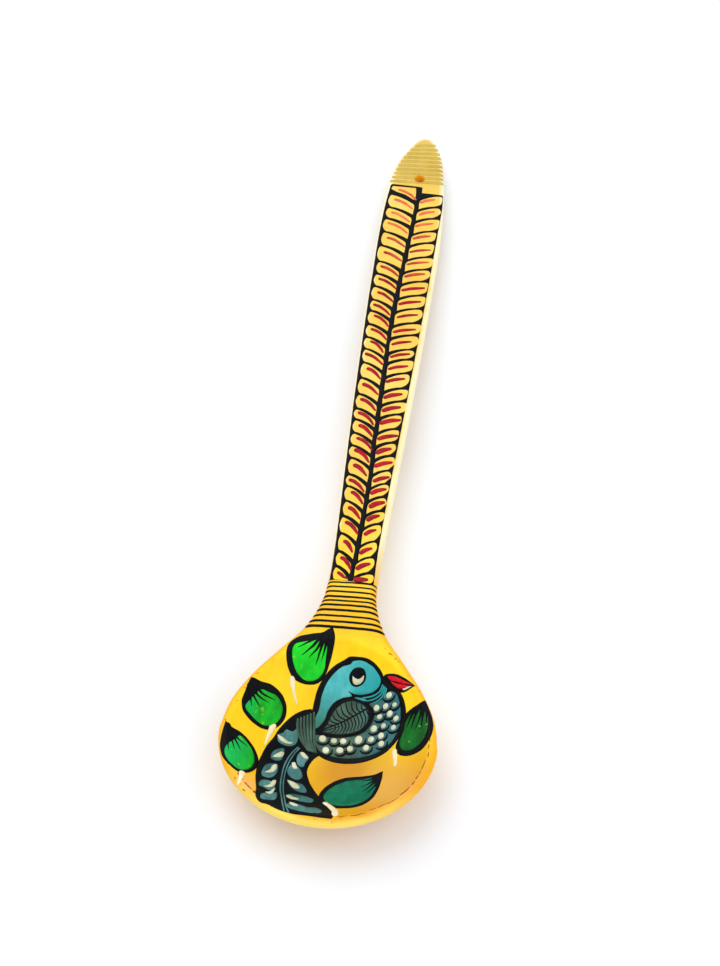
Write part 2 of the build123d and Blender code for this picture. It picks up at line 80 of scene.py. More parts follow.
# ---- curves ----
def smooth_curve(points, closed=False, step=STEP):
    """Points every step along a smooth curve through given ones (centripetal Catmull-Rom)."""
    p = [Vector(q) for q in points]
    if closed:
        p = [p[-1]] + p + [p[0], p[1]]
    else:
        p = [2 * p[0] - p[1]] + p + [2 * p[-1] - p[-2]]
    out = []
    for a, b, c, d in zip(p, p[1:], p[2:], p[3:]):
        t1 = max((b - a).length, 1e-6) ** 0.5
        t2 = t1 + max((c - b).length, 1e-6) ** 0.5
        t3 = t2 + max((d - c).length, 1e-6) ** 0.5
        count = max(2, int((c - b).length / step + 0.999))
        for i in range(count):
            t = t1 + (t2 - t1) * i / count
            a1 = a * ((t1 - t) / t1) + b * (t / t1)
            a2 = b * ((t2 - t) / (t2 - t1)) + c * ((t - t1) / (t2 - t1))
            a3 = c * ((t3 - t) / (t3 - t2)) + d * ((t - t2) / (t3 - t2))
            b1 = a1 * ((t2 - t) / t2) + a2 * (t / t2)
            b2 = a2 * ((t3 - t) / (t3 - t1)) + a3 * ((t - t1) / (t3 - t1))
            out.append(b1 * ((t2 - t) / (t2 - t1)) + b2 * ((t - t1) / (t2 - t1)))
    if not closed:
        out.append(p[-2])
    return out


def between(low, high, t):
    return low + (high - low) * t


def spoon_outline():
    """The closed outline from above, counter-clockwise from the lip's middle."""
    lip = []
    turns = 90
    for i in range(2 * turns):
        angle = math.pi * (1 + i / (2 * turns))
        lip.append(Vector((BOWL_HALF_WIDTH * math.cos(angle), WIDEST_AT * (1 + math.sin(angle)))))
    side = [(33.9, 30), (31.9, 40), (27, 50), (20, 60), (12.8, 70), (9, 80), (7.9, 90), (8.1, 105),
            (8.8, 125), (10.2, 165), (11.2, 205), (11.7, 245)]
    right = side + [(11.4, 258), (10.6, 271), (9.5, 282), (8, 291.5), (5.5, 299.5), (3.4, 303.6)]
    left = [(-x, s) for x, s in side]
    left += [(-11.8, 258), (-11.4, 271), (-10.5, 282), (-8.6, 291.5), (-5, 299.5), (-2.4, 303.8)]
    tip = [(0.8, 305)]
    over_the_tip = smooth_curve(right + tip + left[::-1], step=0.5)
    return lip + over_the_tip[:-1]


OUTLINE = spoon_outline()
OUTLINE_POINTS = np.array([(p.x, p.y) for p in OUTLINE])


# ---- heights ----
def edge_distance(x, s):
    """How far each place lies inside the outline."""
    out = np.empty(len(x))
    chunk = 4000
    for k in range(0, len(x), chunk):
        dx = x[k:k + chunk, None] - OUTLINE_POINTS[None, :, 0]
        ds = s[k:k + chunk, None] - OUTLINE_POINTS[None, :, 1]
        out[k:k + chunk] = np.sqrt((dx * dx + ds * ds).min(axis=1))
    return out


def top_line(s):
    t = np.clip((s - NECK_AT) / (LENGTH - NECK_AT), 0, 1)
    return RIM_HEIGHT - (RIM_HEIGHT - TIP_HEIGHT) * t ** 1.5


def hollow(x, s):
    near = s < WIDEST_AT
    reach = np.where(near, WIDEST_AT - RIM_BAND, HOLLOW_END - WIDEST_AT)
    power = np.where(near, 2.0, 1.8)
    across = np.abs(x / (BOWL_HALF_WIDTH - RIM_BAND))
    along = np.abs((s - WIDEST_AT) / reach)
    r = (across ** power + along ** power) ** (1 / power)
    return HOLLOW_FLOOR + (RIM_HEIGHT - HOLLOW_FLOOR) * r ** 2.2


def soft_lower(a, b, softness):
    h = np.clip(0.5 + 0.5 * (b - a) / softness, 0, 1)
    return b + (a - b) * h - softness * h * (1 - h)


def rounding(distance, radius):
    """How far a rounded edge drops at a distance inside the outline."""
    inside = np.clip(radius - distance, 0, radius)
    return radius - np.sqrt(np.maximum(radius ** 2 - inside ** 2, 0))


def top_height(x, s):
    x = np.asarray(x, float)
    s = np.asarray(s, float)
    flat = soft_lower(top_line(s), hollow(x, s), HOLLOW_SOFTNESS)
    flat = np.where(s > HOLLOW_END + 4, top_line(s), flat)
    return flat - rounding(edge_distance(x, s), TOP_ROUND)


def back_height(x, s):
    reach = np.where(s < WIDEST_AT, 32.5, 50.0)
    q = np.sqrt((x / 36) ** 2 + ((s - WIDEST_AT) / reach) ** 2)
    dish = 16.9 * q ** 2.4 - 0.4
    t = np.clip((s - NECK_AT) / (LENGTH - NECK_AT), 0, 1)
    handle = top_line(s) - (NECK_THICKNESS + (TIP_THICKNESS - NECK_THICKNESS) * t) + 1.5 * (x / 10) ** 2
    share = np.clip((s - 55) / 25, 0, 1)
    share = share * share * (3 - 2 * share)
    back = np.maximum((1 - share) * dish + share * handle, 0)
    return back + rounding(edge_distance(x, s), BACK_ROUND)


def to_metres(x, s, z):
    return np.stack([x, s - LENGTH / 2, z], axis=1) * MM


# ---- materials ----
def colour(r, g, b):
    """A screen colour, 0 to 255, as a linear one."""
    def linear(c):
        c /= 255
        return c / 12.92 if c <= 0.04045 else ((c + 0.055) / 1.055) ** 2.4
    return (linear(r), linear(g), linear(b), 1.0)


class Shader:
    """A small helper that keeps node building readable. Its colours are screen colours, 0 to 255."""

    def __init__(self, name):
        self.material = bpy.data.materials.new(name)
        self.material.use_nodes = True
        self.tree = self.material.node_tree
        self.bsdf = self.tree.nodes["Principled BSDF"]
        self.place = self.add("ShaderNodeTexCoord").outputs["Object"]

    def add(self, kind, **settings):
        node = self.tree.nodes.new(kind)
        for key, value in settings.items():
            setattr(node, key, value)
        return node

    def link(self, source, target):
        self.tree.links.new(source, target)

    def stretched(self, scale, turn=0.0):
        mapping = self.add("ShaderNodeMapping")
        mapping.inputs["Scale"].default_value = scale
        mapping.inputs["Rotation"].default_value = (0, 0, turn)
        self.link(self.place, mapping.inputs["Vector"])
        return mapping.outputs["Vector"]

    def noise(self, scale, detail=4.0, rough=0.55, stretch=(1, 1, 1), turn=0.0, distortion=0.0):
        node = self.add("ShaderNodeTexNoise")
        node.inputs["Scale"].default_value = scale
        node.inputs["Detail"].default_value = detail
        node.inputs["Roughness"].default_value = rough
        node.inputs["Distortion"].default_value = distortion
        self.link(self.stretched(stretch, turn), node.inputs["Vector"])
        return node.outputs["Fac"]

    def ramp(self, value, stops):
        node = self.add("ShaderNodeValToRGB")
        elements = node.color_ramp.elements
        while len(elements) < len(stops):
            elements.new(0.5)
        for element, (position, tone) in zip(elements, stops):
            element.position = position
            element.color = colour(*tone) if isinstance(tone, tuple) else (tone, tone, tone, 1)
        self.link(value, node.inputs["Fac"])
        return node.outputs["Color"]

    def mix(self, factor, a, b):
        node = self.add("ShaderNodeMix", data_type="RGBA")
        for socket, value in ((node.inputs[0], factor), (node.inputs[6], a), (node.inputs[7], b)):
            if isinstance(value, tuple):
                socket.default_value = colour(*value)
            elif isinstance(value, (float, int)):
                socket.default_value = value
            else:
                self.link(value, socket)
        return node.outputs[2]

    def math(self, operation, a, b=0.0):
        node = self.add("ShaderNodeMath", operation=operation)
        for socket, value in ((node.inputs[0], a), (node.inputs[1], b)):
            if isinstance(value, (float, int)):
                socket.default_value = value
            else:
                self.link(value, socket)
        return node.outputs[0]

    def span(self, value, low, high, to_low=0.0, to_high=1.0):
        node = self.add("ShaderNodeMapRange")
        node.inputs["From Min"].default_value = low
        node.inputs["From Max"].default_value = high
        node.inputs["To Min"].default_value = to_low
        node.inputs["To Max"].default_value = to_high
        self.link(value, node.inputs["Value"])
        return node.outputs["Result"]

    def axis(self, name):
        node = self.add("ShaderNodeSeparateXYZ")
        self.link(self.place, node.inputs["Vector"])
        return node.outputs[name]

    def spot(self, x, s, radius, strength=1.0):
        """1 at a place on the spoon, falling softly to 0 at radius; all in millimetres."""
        flat = self.add("ShaderNodeVectorMath", operation="MULTIPLY")
        flat.inputs[1].default_value = (1, 1, 0)
        self.link(self.place, flat.inputs[0])
        away = self.add("ShaderNodeVectorMath", operation="DISTANCE")
        away.inputs[1].default_value = (x * MM, (s - LENGTH / 2) * MM, 0)
        self.link(flat.outputs["Vector"], away.inputs[0])
        return self.span(away.outputs["Value"], radius * MM, 0.25 * radius * MM, 0.0, strength)

    def bump(self, height, strength, distance):
        node = self.add("ShaderNodeBump")
        node.inputs["Strength"].default_value = strength
        node.inputs["Distance"].default_value = distance
        self.link(height, node.inputs["Height"])
        self.link(node.outputs["Normal"], self.bsdf.inputs["Normal"])

    def varnish(self, coat=0.07, roughness=0.2, specular=0.14):
        self.bsdf.inputs["Coat Weight"].default_value = coat
        self.bsdf.inputs["Coat Roughness"].default_value = roughness
        self.bsdf.inputs["Specular IOR Level"].default_value = specular


def enamel(name, dark, middle, light, turn, drifts=(), specks=None):
    """Brushed enamel with fine streaks at an angle of turn, and thin and thick places.

    Each drift is (axis, from, to, tone): the colour turns into tone between two places.
    specks is the colour of small specks.
    """
    sh = Shader(name)
    patches = sh.noise(160, 3, 0.5)
    streaks = sh.noise(420, 4, 0.6, stretch=(1, 0.16, 1), turn=turn)
    tone = sh.ramp(sh.mix(0.45, patches, streaks), [(0.3, dark), (0.5, middle), (0.72, light)])
    for axis, start, end, other in drifts:
        tone = sh.mix(sh.span(sh.axis(axis), start, end, 0.0, 0.85), tone, other)
    if specks:
        dots = sh.ramp(sh.noise(620, 2, 0.5), [(0.64, 0.0), (0.72, 0.6)])
        tone = sh.mix(dots, tone, specks)
    sh.link(tone, sh.bsdf.inputs["Base Color"])
    sh.link(sh.span(streaks, 0.3, 0.7, 0.28, 0.44), sh.bsdf.inputs["Roughness"])
    sh.bump(streaks, 0.35, 0.00006)
    sh.varnish()
    return sh.material


def black_enamel():
    """Near-black paint, brown in small spots where it is thin; its blue cast, lighter on the streaks'
    ridges, is a painted reflection of the sky.
    """
    sh = Shader("black_enamel")
    streaks = sh.noise(380, 4, 0.6, stretch=(1, 0.2, 1), turn=0.4)
    thin = sh.noise(900, 2, 0.5)
    # Painted reflection: the blue cast, lightest on the streaks' ridges, stands for the sky reflecting
    # in the black.
    tone = sh.ramp(streaks, [(0.3, (2, 3, 6)), (0.6, (6, 8, 15)), (0.8, (16, 18, 24))])
    worn = sh.ramp(thin, [(0.7, 0.0), (0.78, 0.3)])
    sh.link(sh.mix(worn, tone, (44, 38, 22)), sh.bsdf.inputs["Base Color"])
    sh.link(sh.span(streaks, 0.3, 0.7, 0.3, 0.46), sh.bsdf.inputs["Roughness"])
    sh.bump(streaks, 0.4, 0.00006)
    sh.varnish(0.02, 0.25, 0.08)
    return sh.material


def faded_red():
    """Crimson low on the handle, worn to a pale orange near the tip."""
    sh = Shader("red_enamel")
    streaks = sh.noise(500, 4, 0.6, stretch=(0.3, 1, 1), turn=0.5)
    strong = sh.ramp(streaks, [(0.3, (120, 0, 18)), (0.55, (172, 0, 28)), (0.8, (206, 8, 34))])
    weak = sh.ramp(streaks, [(0.3, (226, 90, 52)), (0.6, (240, 130, 84)), (0.8, (246, 170, 100))])
    along = sh.span(sh.axis("Y"), 0.055, 0.12)
    drift = sh.math("ADD", along, sh.span(sh.noise(60, 2), 0.3, 0.7, -0.3, 0.3))
    faded = sh.ramp(drift, [(0.3, 0.0), (0.9, 0.95)])
    sh.link(sh.mix(faded, strong, weak), sh.bsdf.inputs["Base Color"])
    sh.bsdf.inputs["Roughness"].default_value = 0.36
    sh.bump(streaks, 0.4, 0.00006)
    sh.varnish()
    return sh.material


def painted_wood():
    """Golden ground coat over carved wood, pale and chipped along the edges, where the paling is a
    painted highlight mixed with wear. Painted shade makes it deeper orange low in the bowl, and painted
    reflection gives it pale peach spots.
    """
    sh = Shader("painted_wood")
    patches = sh.noise(55, 4, 0.55)
    streaks = sh.noise(260, 5, 0.62, stretch=(1, 0.12, 1))
    grain = sh.noise(120, 6, 0.6, stretch=(1, 0.05, 1), distortion=0.6)
    bright = sh.ramp(patches, [(0.3, (250, 196, 0)), (0.52, (255, 212, 6)), (0.75, (255, 226, 26))])
    golden = sh.mix(sh.ramp(streaks, [(0.4, 0.0), (0.75, 0.4)]), bright, (248, 184, 6))
    # Painted shade: low in the bowl and towards its right the ground turns a deeper orange, where the
    # near wall faces away from the light.
    low = sh.span(sh.axis("Y"), -0.112, -0.136)
    right = sh.span(sh.axis("X"), -0.022, 0.03)
    painted_shade = sh.math("MULTIPLY", low, sh.span(right, 0, 1, 0.3, 1.0))
    bowl = sh.mix(painted_shade, golden, (222, 146, 24))
    # Painted shade: an ochre spot below the bird, low on the bowl's right.
    bowl = sh.mix(sh.spot(6, 26, 16, 0.9), bowl, (206, 138, 0))
    # Painted reflection: pale peach spots at the bowl's lower left and on its right stand for the haze
    # of light reflected in its gloss.
    bowl = sh.mix(sh.spot(-22.5, 11, 6, 0.85), bowl, (255, 184, 100))
    bowl = sh.mix(sh.spot(20, 17, 13, 0.7), bowl, (236, 178, 84))
    past_bowl = sh.span(sh.axis("Y"), -0.088, -0.082)
    before_handle = sh.span(sh.axis("Y"), -0.06, -0.075)
    neck = sh.math("MULTIPLY", past_bowl, before_handle)
    bowl = sh.mix(sh.math("MULTIPLY", neck, 0.75), bowl, (244, 182, 20))
    up = sh.span(sh.axis("Y"), -0.075, -0.02)
    sandy = sh.ramp(patches, [(0.3, (244, 190, 70)), (0.55, (251, 204, 86)), (0.75, (255, 214, 106))])
    ground = sh.mix(up, bowl, sandy)
    tip = sh.span(sh.axis("Y"), 0.118, 0.13)
    tan = sh.ramp(patches, [(0.3, (216, 178, 80)), (0.7, (232, 196, 96))])
    ground = sh.mix(tip, ground, tan)
    edge = sh.add("ShaderNodeAttribute", attribute_name="edge").outputs["Fac"]
    # Painted highlight mixed with wear: the ground pales towards cream along the rounded edges, on the
    # near rim and most of all on the handle, where the edges catch the light.
    bowl_edge = sh.mix(sh.span(sh.axis("Y"), -0.136, -0.15), (242, 172, 6), (255, 226, 104))
    handle_edge = sh.mix(sh.span(sh.axis("Y"), -0.066, -0.045), bowl_edge, (255, 242, 202))
    painted_light_and_wear = sh.math("ADD", edge, sh.span(patches, 0.3, 0.7, -0.2, 0.2))
    paled = sh.mix(sh.ramp(painted_light_and_wear, [(0.35, 0.0), (0.8, 0.85)]), ground, handle_edge)
    chips = sh.ramp(sh.noise(520, 3, 0.6), [(0.66, 0.0), (0.7, 1.0)])
    chip_zone = sh.ramp(edge, [(0.25, 0.0), (0.45, 0.8), (0.7, 0.8), (0.95, 0.1)])
    in_bowl = sh.span(sh.axis("Y"), -0.09, -0.105)
    chipped = sh.math("MULTIPLY", sh.math("MULTIPLY", chips, chip_zone), in_bowl)
    sh.link(sh.mix(chipped, paled, (206, 84, 12)), sh.bsdf.inputs["Base Color"])
    sh.link(sh.span(patches, 0.3, 0.7, 0.26, 0.4), sh.bsdf.inputs["Roughness"])
    sh.bump(sh.mix(0.5, streaks, grain), 0.3, 0.00012)
    sh.varnish(0.1, 0.14, 0.16)
    return sh.material


def bare_hole():
    sh = Shader("hole_wood")
    rings = sh.noise(700, 4, 0.6, stretch=(1, 1, 0.3))
    tone = sh.ramp(rings, [(0.3, (255, 176, 10)), (0.7, (255, 212, 50))])
    sh.link(tone, sh.bsdf.inputs["Base Color"])
    sh.bsdf.inputs["Roughness"].default_value = 0.7
    sh.bump(rings, 0.5, 0.0001)
    return sh.material


# ---- the carved body ----
def inward_normals(points):
    ahead = np.roll(points, -1, axis=0) - np.roll(points, 1, axis=0)
    normal = np.stack([-ahead[:, 1], ahead[:, 0]], axis=1)
    return normal / np.linalg.norm(normal, axis=1)[:, None]


def body_rings():
    """Loops from the outline to a slit along the middle, and how near the edge each point is."""
    normals = inward_normals(OUTLINE_POINTS)
    rings = []
    nearness = []
    for distance in (0.004, 0.05, 0.12, 0.22, 0.35, 0.5, 0.7, 0.9, 1.1, 1.3, 1.6):
        rings.append(OUTLINE_POINTS + normals * distance)
        nearness.append(1 - distance / 3)
    start = rings[-1]
    s = OUTLINE_POINTS[:, 1]
    middle = np.stack([np.clip((s - 250) / 40, 0, 1), np.clip(s, WIDEST_AT, 293)], axis=1)
    close_steps = [0.011 * i for i in range(1, 14)]
    wide_steps = [0.143 + 0.837 * i / 24 for i in range(1, 25)]
    for share in close_steps + wide_steps:
        rings.append(start + (middle - start) * share)
        nearness.append(max(0.0, 0.45 - 3 * share))
    return rings, nearness


def carved_body():
    """The top and the back, each a set of loops, joined round the outline and capped inside."""
    rings, nearness = body_rings()
    count = len(OUTLINE_POINTS)
    layers = len(rings)
    points = []
    for height in (top_height, back_height):
        for ring in rings:
            points.append(to_metres(ring[:, 0], ring[:, 1], height(ring[:, 0], ring[:, 1])))
    points = np.concatenate(points)
    values = np.repeat(np.array(nearness + nearness), count)
    faces = []
    for side in (0, 1):
        base = side * layers * count
        for k in range(layers - 1):
            for i in range(count):
                j = (i + 1) % count
                outer = base + k * count
                inner = outer + count
                quad = (outer + i, outer + j, inner + j, inner + i)
                faces.append(quad if side == 0 else quad[::-1])
        cap = [base + (layers - 1) * count + i for i in range(count)]
        faces.append(cap if side == 0 else cap[::-1])
    back = layers * count
    for i in range(count):
        j = (i + 1) % count
        faces.append((back + i, back + j, j, i))
    mesh = bpy.data.meshes.new("carved_body")
    mesh.from_pydata([tuple(p) for p in points], [], faces)
    attribute = mesh.attributes.new("edge", "FLOAT", "POINT")
    attribute.data.foreach_set("value", values)
    bm = bmesh.new()
    bm.from_mesh(mesh)
    bmesh.ops.triangulate(bm, faces=[face for face in bm.faces if len(face.verts) > 4])
    bmesh.ops.recalc_face_normals(bm, faces=bm.faces)
    for face in bm.faces:
        face.smooth = True
    bm.to_mesh(mesh)
    bm.free()
    made = bpy.data.objects.new("carved_body", mesh)
    bpy.context.collection.objects.link(made)
    made.data.materials.append(painted_wood())
    return made


def drilled(body):
    """The hang hole, cut with a round cutter."""
    bpy.ops.mesh.primitive_cylinder_add(vertices=64, radius=HOLE_RADIUS * MM, depth=0.04,
                                        location=(HOLE_AT[0] * MM, (HOLE_AT[1] - LENGTH / 2) * MM, 0))
    cutter = bpy.context.object
    cutter.data.materials.append(bare_hole())
    cut = body.modifiers.new("hole", "BOOLEAN")
    cut.object = cutter
    cut.solver = "EXACT"
    cut.material_mode = "TRANSFER"
    bpy.context.view_layer.update()
    result = bpy.data.meshes.new_from_object(body.evaluated_get(bpy.context.evaluated_depsgraph_get()))
    body.modifiers.clear()
    body.data = result
    bpy.data.objects.remove(cutter)


# ---- patches of paint ----
def wobble(point, amount):
    """A hand-painted edge is never quite even."""
    if amount == 0:
        return point
    a = noise.noise(Vector((point.x * 0.5, point.y * 0.5, 3.1)))
    b = noise.noise(Vector((point.x * 0.5, point.y * 0.5, 8.7)))
    return Vector((point.x + a * amount, point.y + b * amount))


def inside(points, loops):
    """Which points lie in an odd number of the loops."""
    result = np.zeros(len(points), bool)
    for loop in loops:
        x = np.array([p.x for p in loop])
        y = np.array([p.y for p in loop])
        x2 = np.roll(x, -1)
        y2 = np.roll(y, -1)
        for k in range(0, len(points), 2000):
            px = points[k:k + 2000, 0][:, None]
            py = points[k:k + 2000, 1][:, None]
            crosses = (y[None] > py) != (y2[None] > py)
            rise = np.where(y2 == y, 1e-12, y2 - y)
            at = (x2 - x)[None] * (py - y[None]) / rise[None] + x[None]
            result[k:k + 2000] ^= (np.sum(crosses & (px < at), axis=1) % 2).astype(bool)
    return result


def clipped(loop, margin):
    """Keeps a patch's edge on the spoon: points outside move to the nearest place inside."""
    x = np.array([p.x for p in loop])
    s = np.array([p.y for p in loop])
    outside = ~inside(np.stack([x, s], axis=1), [OUTLINE])
    far = edge_distance(x, s)
    normals = inward_normals(OUTLINE_POINTS)
    result = []
    for i, point in enumerate(loop):
        if outside[i] or far[i] < margin:
            gaps = (OUTLINE_POINTS[:, 0] - x[i]) ** 2 + (OUTLINE_POINTS[:, 1] - s[i]) ** 2
            k = int(gaps.argmin())
            place = OUTLINE_POINTS[k] + normals[k] * margin
            point = Vector((place[0], place[1]))
        result.append(point)
    kept = [p for p, q in zip(result, result[-1:] + result[:-1]) if (p - q).length > 0.05]
    return kept


def edge_followers():
    """Points along the spoon's rounded edge and the hollow's edge, so that paint bends with them."""
    normals = inward_normals(OUTLINE_POINTS)
    rows = [OUTLINE_POINTS + normals * distance for distance in (0.35, 0.5, 0.7, 0.95, 1.25)]
    for share in (0.93, 0.96, 0.985, 1.01, 1.035):
        for i in range(360):
            angle = math.pi * i / 180
            reach = WIDEST_AT - RIM_BAND if angle > math.pi else HOLLOW_END - WIDEST_AT
            power = 1.0 if angle > math.pi else 2 / 1.8
            across = math.copysign(abs(math.cos(angle)) ** power, math.cos(angle))
            along = math.copysign(abs(math.sin(angle)) ** power, math.sin(angle))
            x = (BOWL_HALF_WIDTH - RIM_BAND) * share * across
            rows.append(np.array([[x, WIDEST_AT + reach * share * along]]))
    return np.concatenate(rows)


FOLLOWERS = edge_followers()


def painted(places, loops):
    """Which places lie in the first loop and in none of the others."""
    result = inside(places, loops[:1])
    for hole in loops[1:]:
        result &= ~inside(places, [hole])
    return result


def inner_points(loops):
    """A grid of points in the painted area, with extra ones where the spoon's surface bends."""
    edge = np.array([(p.x, p.y) for loop in loops for p in loop])
    low = edge.min(axis=0)
    high = edge.max(axis=0)
    grid = [(x, s) for x in np.arange(low[0], high[0], GRID) for s in np.arange(low[1], high[1], GRID)]
    near = FOLLOWERS[((FOLLOWERS > low) & (FOLLOWERS < high)).all(axis=1)]
    places = np.array(grid + [tuple(p) for p in near])
    places = places[painted(places, loops)]
    kept = []
    for place in places:
        if ((edge - place) ** 2).sum(axis=1).min() > LEAST_GAP_SQUARED:
            kept.append(Vector(place))
    return kept


class Paint:
    """Collects patches that lie on the spoon's top and makes one mesh piece of them."""

    def __init__(self, name, material, lift, rough_edge=0.06, margin=0.35):
        self.name = name
        self.material = material
        self.lift = lift
        self.rough_edge = rough_edge
        self.margin = margin
        self.patches = 0
        self.verts = []
        self.faces = []

    def patch(self, loop, holes=()):
        """Adds the inside of a loop, less its holes, as a thin raised sheet with closed sides."""
        loops = [clipped([wobble(p, self.rough_edge) for p in loop], self.margin)]
        loops += [[wobble(p, self.rough_edge) for p in hole] for hole in holes]
        if len(loops[0]) < 4:
            return
        points = [p for loop in loops for p in loop]
        edges = []
        for loop in loops:
            base = len(edges)
            count = len(loop)
            edges += [(base + i, base + (i + 1) % count) for i in range(count)]
        rim = len(points)
        points += inner_points(loops)
        verts, _, tris, sources, _, _ = geometry.delaunay_2d_cdt(points, edges, [], 0, 1e-5)
        if not tris:
            return
        flat = np.array([(v.x, v.y) for v in verts])
        centres = flat[np.array(tris)].mean(axis=1)
        chosen = [t for t, ok in zip(tris, painted(centres, loops)) if ok]
        on_rim = np.array([not source or min(source) < rim for source in sources])
        ground = top_height(flat[:, 0], flat[:, 1])
        top = ground + self.lift - np.where(on_rim, EDGE_DROP, 0.0)
        self.patches += 1
        highest = RIM_HEIGHT + CLOSE_COAT * self.lift - OVERLAP_STEP * (self.patches % 5)
        self.add_sheet(flat, ground, np.minimum(top, highest), chosen)

    def add_sheet(self, flat, ground, top, triangles):
        start = len(self.verts)
        count = len(flat)
        self.verts += [tuple(v) for v in to_metres(flat[:, 0], flat[:, 1], top)]
        self.verts += [tuple(v) for v in to_metres(flat[:, 0], flat[:, 1], ground - SUNK)]
        border = set()
        for a, b, c in triangles:
            self.faces.append((start + a, start + b, start + c))
            self.faces.append((start + count + c, start + count + b, start + count + a))
            border.update(((a, b), (b, c), (c, a)))
        for a, b in sorted(border):
            if (b, a) not in border:
                self.faces.append((start + b, start + a, start + count + a, start + count + b))

    def blob(self, *points):
        self.patch(smooth_curve(points, closed=True))

    def pointed(self, *points):
        self.patch(smooth_curve(points + points[:1])[:-1])

    def disc(self, x, s, radius, squash=1.0):
        turns = [2 * math.pi * i / 26 for i in range(26)]
        self.patch([Vector((x + radius * math.cos(a), s + squash * radius * math.sin(a)))
                    for a in turns])

    def brush(self, points, width, tail, belly=0.0):
        """A round-ended stroke, from its width at the start to its tail, fuller in its middle."""
        path = smooth_curve(points, step=0.25)
        count = len(path) - 1
        left = []
        right = []
        for i, place in enumerate(path):
            t = i / count
            ahead = (path[min(i + 1, count)] - path[max(i - 1, 0)]).normalized()
            half = 0.5 * (width + (tail - width) * t + belly * math.sin(math.pi * t))
            across = Vector((-ahead.y, ahead.x)) * half
            left.append(place + across)
            right.append(place - across)
        self.patch(left + self.arc(path[-1], left[-1]) + right[::-1] + self.arc(path[0], right[0]))

    @staticmethod
    def arc(centre, first):
        """A half turn from first around centre, clockwise."""
        offset = first - centre
        out = []
        for i in range(1, 6):
            angle = -math.pi * i / 6
            out.append(centre + Vector((offset.x * math.cos(angle) - offset.y * math.sin(angle),
                                        offset.x * math.sin(angle) + offset.y * math.cos(angle))))
        return out

    def piece(self, *nodes, slot=None):
        """Makes the mesh. It replaces the nodes, or is an extra piece. The slot that the call names is
        not used.
        """
        mesh = bpy.data.meshes.new(self.name)
        mesh.from_pydata(self.verts, [], self.faces)
        mesh.validate()
        for polygon in mesh.polygons:
            polygon.use_smooth = True
        made = bpy.data.objects.new(self.name, mesh)
        bpy.context.collection.objects.link(made)
        made.data.materials.append(self.material)
        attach(made, "root")
        if nodes:
            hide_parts(*nodes)


# ---- the handle ----
def table_value(places, s):
    for (s0, v0), (s1, v1) in zip(places, places[1:]):
        if s <= s1:
            return between(v0, v1, max(0.0, (s - s0) / (s1 - s0)))
    return places[-1][1]


def stem_x(s):
    """The vine's stem wanders a little across the handle."""
    return table_value([(88, -0.9), (100, -0.4), (115, 0.0), (130, 0.3), (150, -0.3), (165, -0.6),
        (185, -0.9), (205, -1.3), (230, -0.5), (250, 0.3), (277, 1.1)], s)


def half_width(s):
    return table_value([(80, 8.8), (90, 7.9), (105, 8.1), (125, 8.8), (165, 10.2), (205, 11.2),
        (245, 11.7), (258, 11.6), (271, 11.0), (282, 10.0)], s)


def right_margin(s):
    """The bare cream strip along the handle's right edge, which closes towards the tip."""
    return table_value([(88, 1.2), (130, 1.7), (200, 1.7), (250, 1.3), (270, 0.5), (280, 0.4)], s)


def spacings(tops, first):
    """Each leaf's top with the room down to the leaf below it."""
    return [(top, top - below) for top, below in zip(tops, [tops[0] - first] + tops[:-1])]


def left_leaf(top, room, rng):
    """An opening that sweeps from a round end at the left down to a corner on the stem."""
    stem = stem_x(top - 5) - rng.uniform(0.75, 1.0)
    edge = 1.35 - half_width(top) + rng.uniform(-0.15, 0.35)
    depth = room - 1.15 + rng.uniform(-0.1, 0.15)
    upper = [(between(edge, stem, t), top - 4.4 * t ** 1.8) for t in (0.22, 0.42, 0.62, 0.82, 0.97)]
    lower = [(between(edge, stem, t), top - 4.4 * t ** 1.8 - depth + 1.1 * t * t)
             for t in (0.8, 0.55, 0.3, 0.12)]
    corner = (stem, max(top - 4.4 - depth + 1.0, VINE_START + 0.5))
    side = (stem + 0.05, top - 5.3)
    end = [(edge, top - 0.68 * depth), (edge - 0.05, top - 0.35 * depth), (edge + 0.6, top - 0.1)]
    points = [corner] + lower + end + upper + [side]
    return smooth_curve([(x, max(s, VINE_START + 0.5)) for x, s in points] + [corner])[:-1]


def right_leaf(top, room, rng):
    """An opening that sweeps from a corner on the stem up to the right-hand margin."""
    stem = stem_x(top - 3) + rng.uniform(0.7, 1.0)
    reach = rng.choice([0.55, 0.75, 0.95, 1.3])
    edge = half_width(top) - right_margin(top) - reach + 0.55
    depth = room - 0.95 + rng.uniform(-0.1, 0.1)
    upper = [(between(stem, edge, t), top - 3.3 * (1 - t) ** 2.1) for t in (0.05, 0.2, 0.4, 0.6, 0.75)]
    lower = [(between(stem, edge, t), top - 3.3 * (1 - t) ** 2.1 - depth + 0.9 * (1 - t) ** 2)
             for t in (0.7, 0.52, 0.35, 0.18)]
    bluntness = rng.choice([0.0, 0.3, 0.6])
    end = [(edge - 0.1 - bluntness, top - 0.3), (edge + 0.1, top - 0.45 * depth),
           (edge - 0.35 - bluntness, top - 0.8 * depth)]
    corner = (stem, max(top - 3.3 - depth + 0.8, VINE_START + 0.5))
    points = [corner, (stem - 0.05, top - 3.9)] + upper + end + lower
    return smooth_curve([(x, max(s, VINE_START + 0.5)) for x, s in points] + [corner])[:-1]


def end_leaf():
    """An opening cut short by the border at the top of the vine."""
    return [Vector(p) for p in ((-9.2, 275.6), (-9.6, 273.9), (-7.5, 272.6), (-4, 271.4), (-0.5, 269),
                                (0, 270.6), (-0.1, 273.4), (-0.4, 275.6))]


def vine_border():
    places = (VINE_START, 100, 115, 130, 150, 170, 190, 210, 230, 250, 265)
    left = [(0.45 - half_width(s), s) for s in places + (VINE_END,)]
    right = [(half_width(s) - right_margin(s), s) for s in (272.9,) + places[::-1]]
    corner = [Vector((-9.5, 276.7)), Vector((0.6, 276.4)), Vector((2, 276.2)), Vector((2.1, 273.1))]
    return smooth_curve(left) + corner + smooth_curve(right)


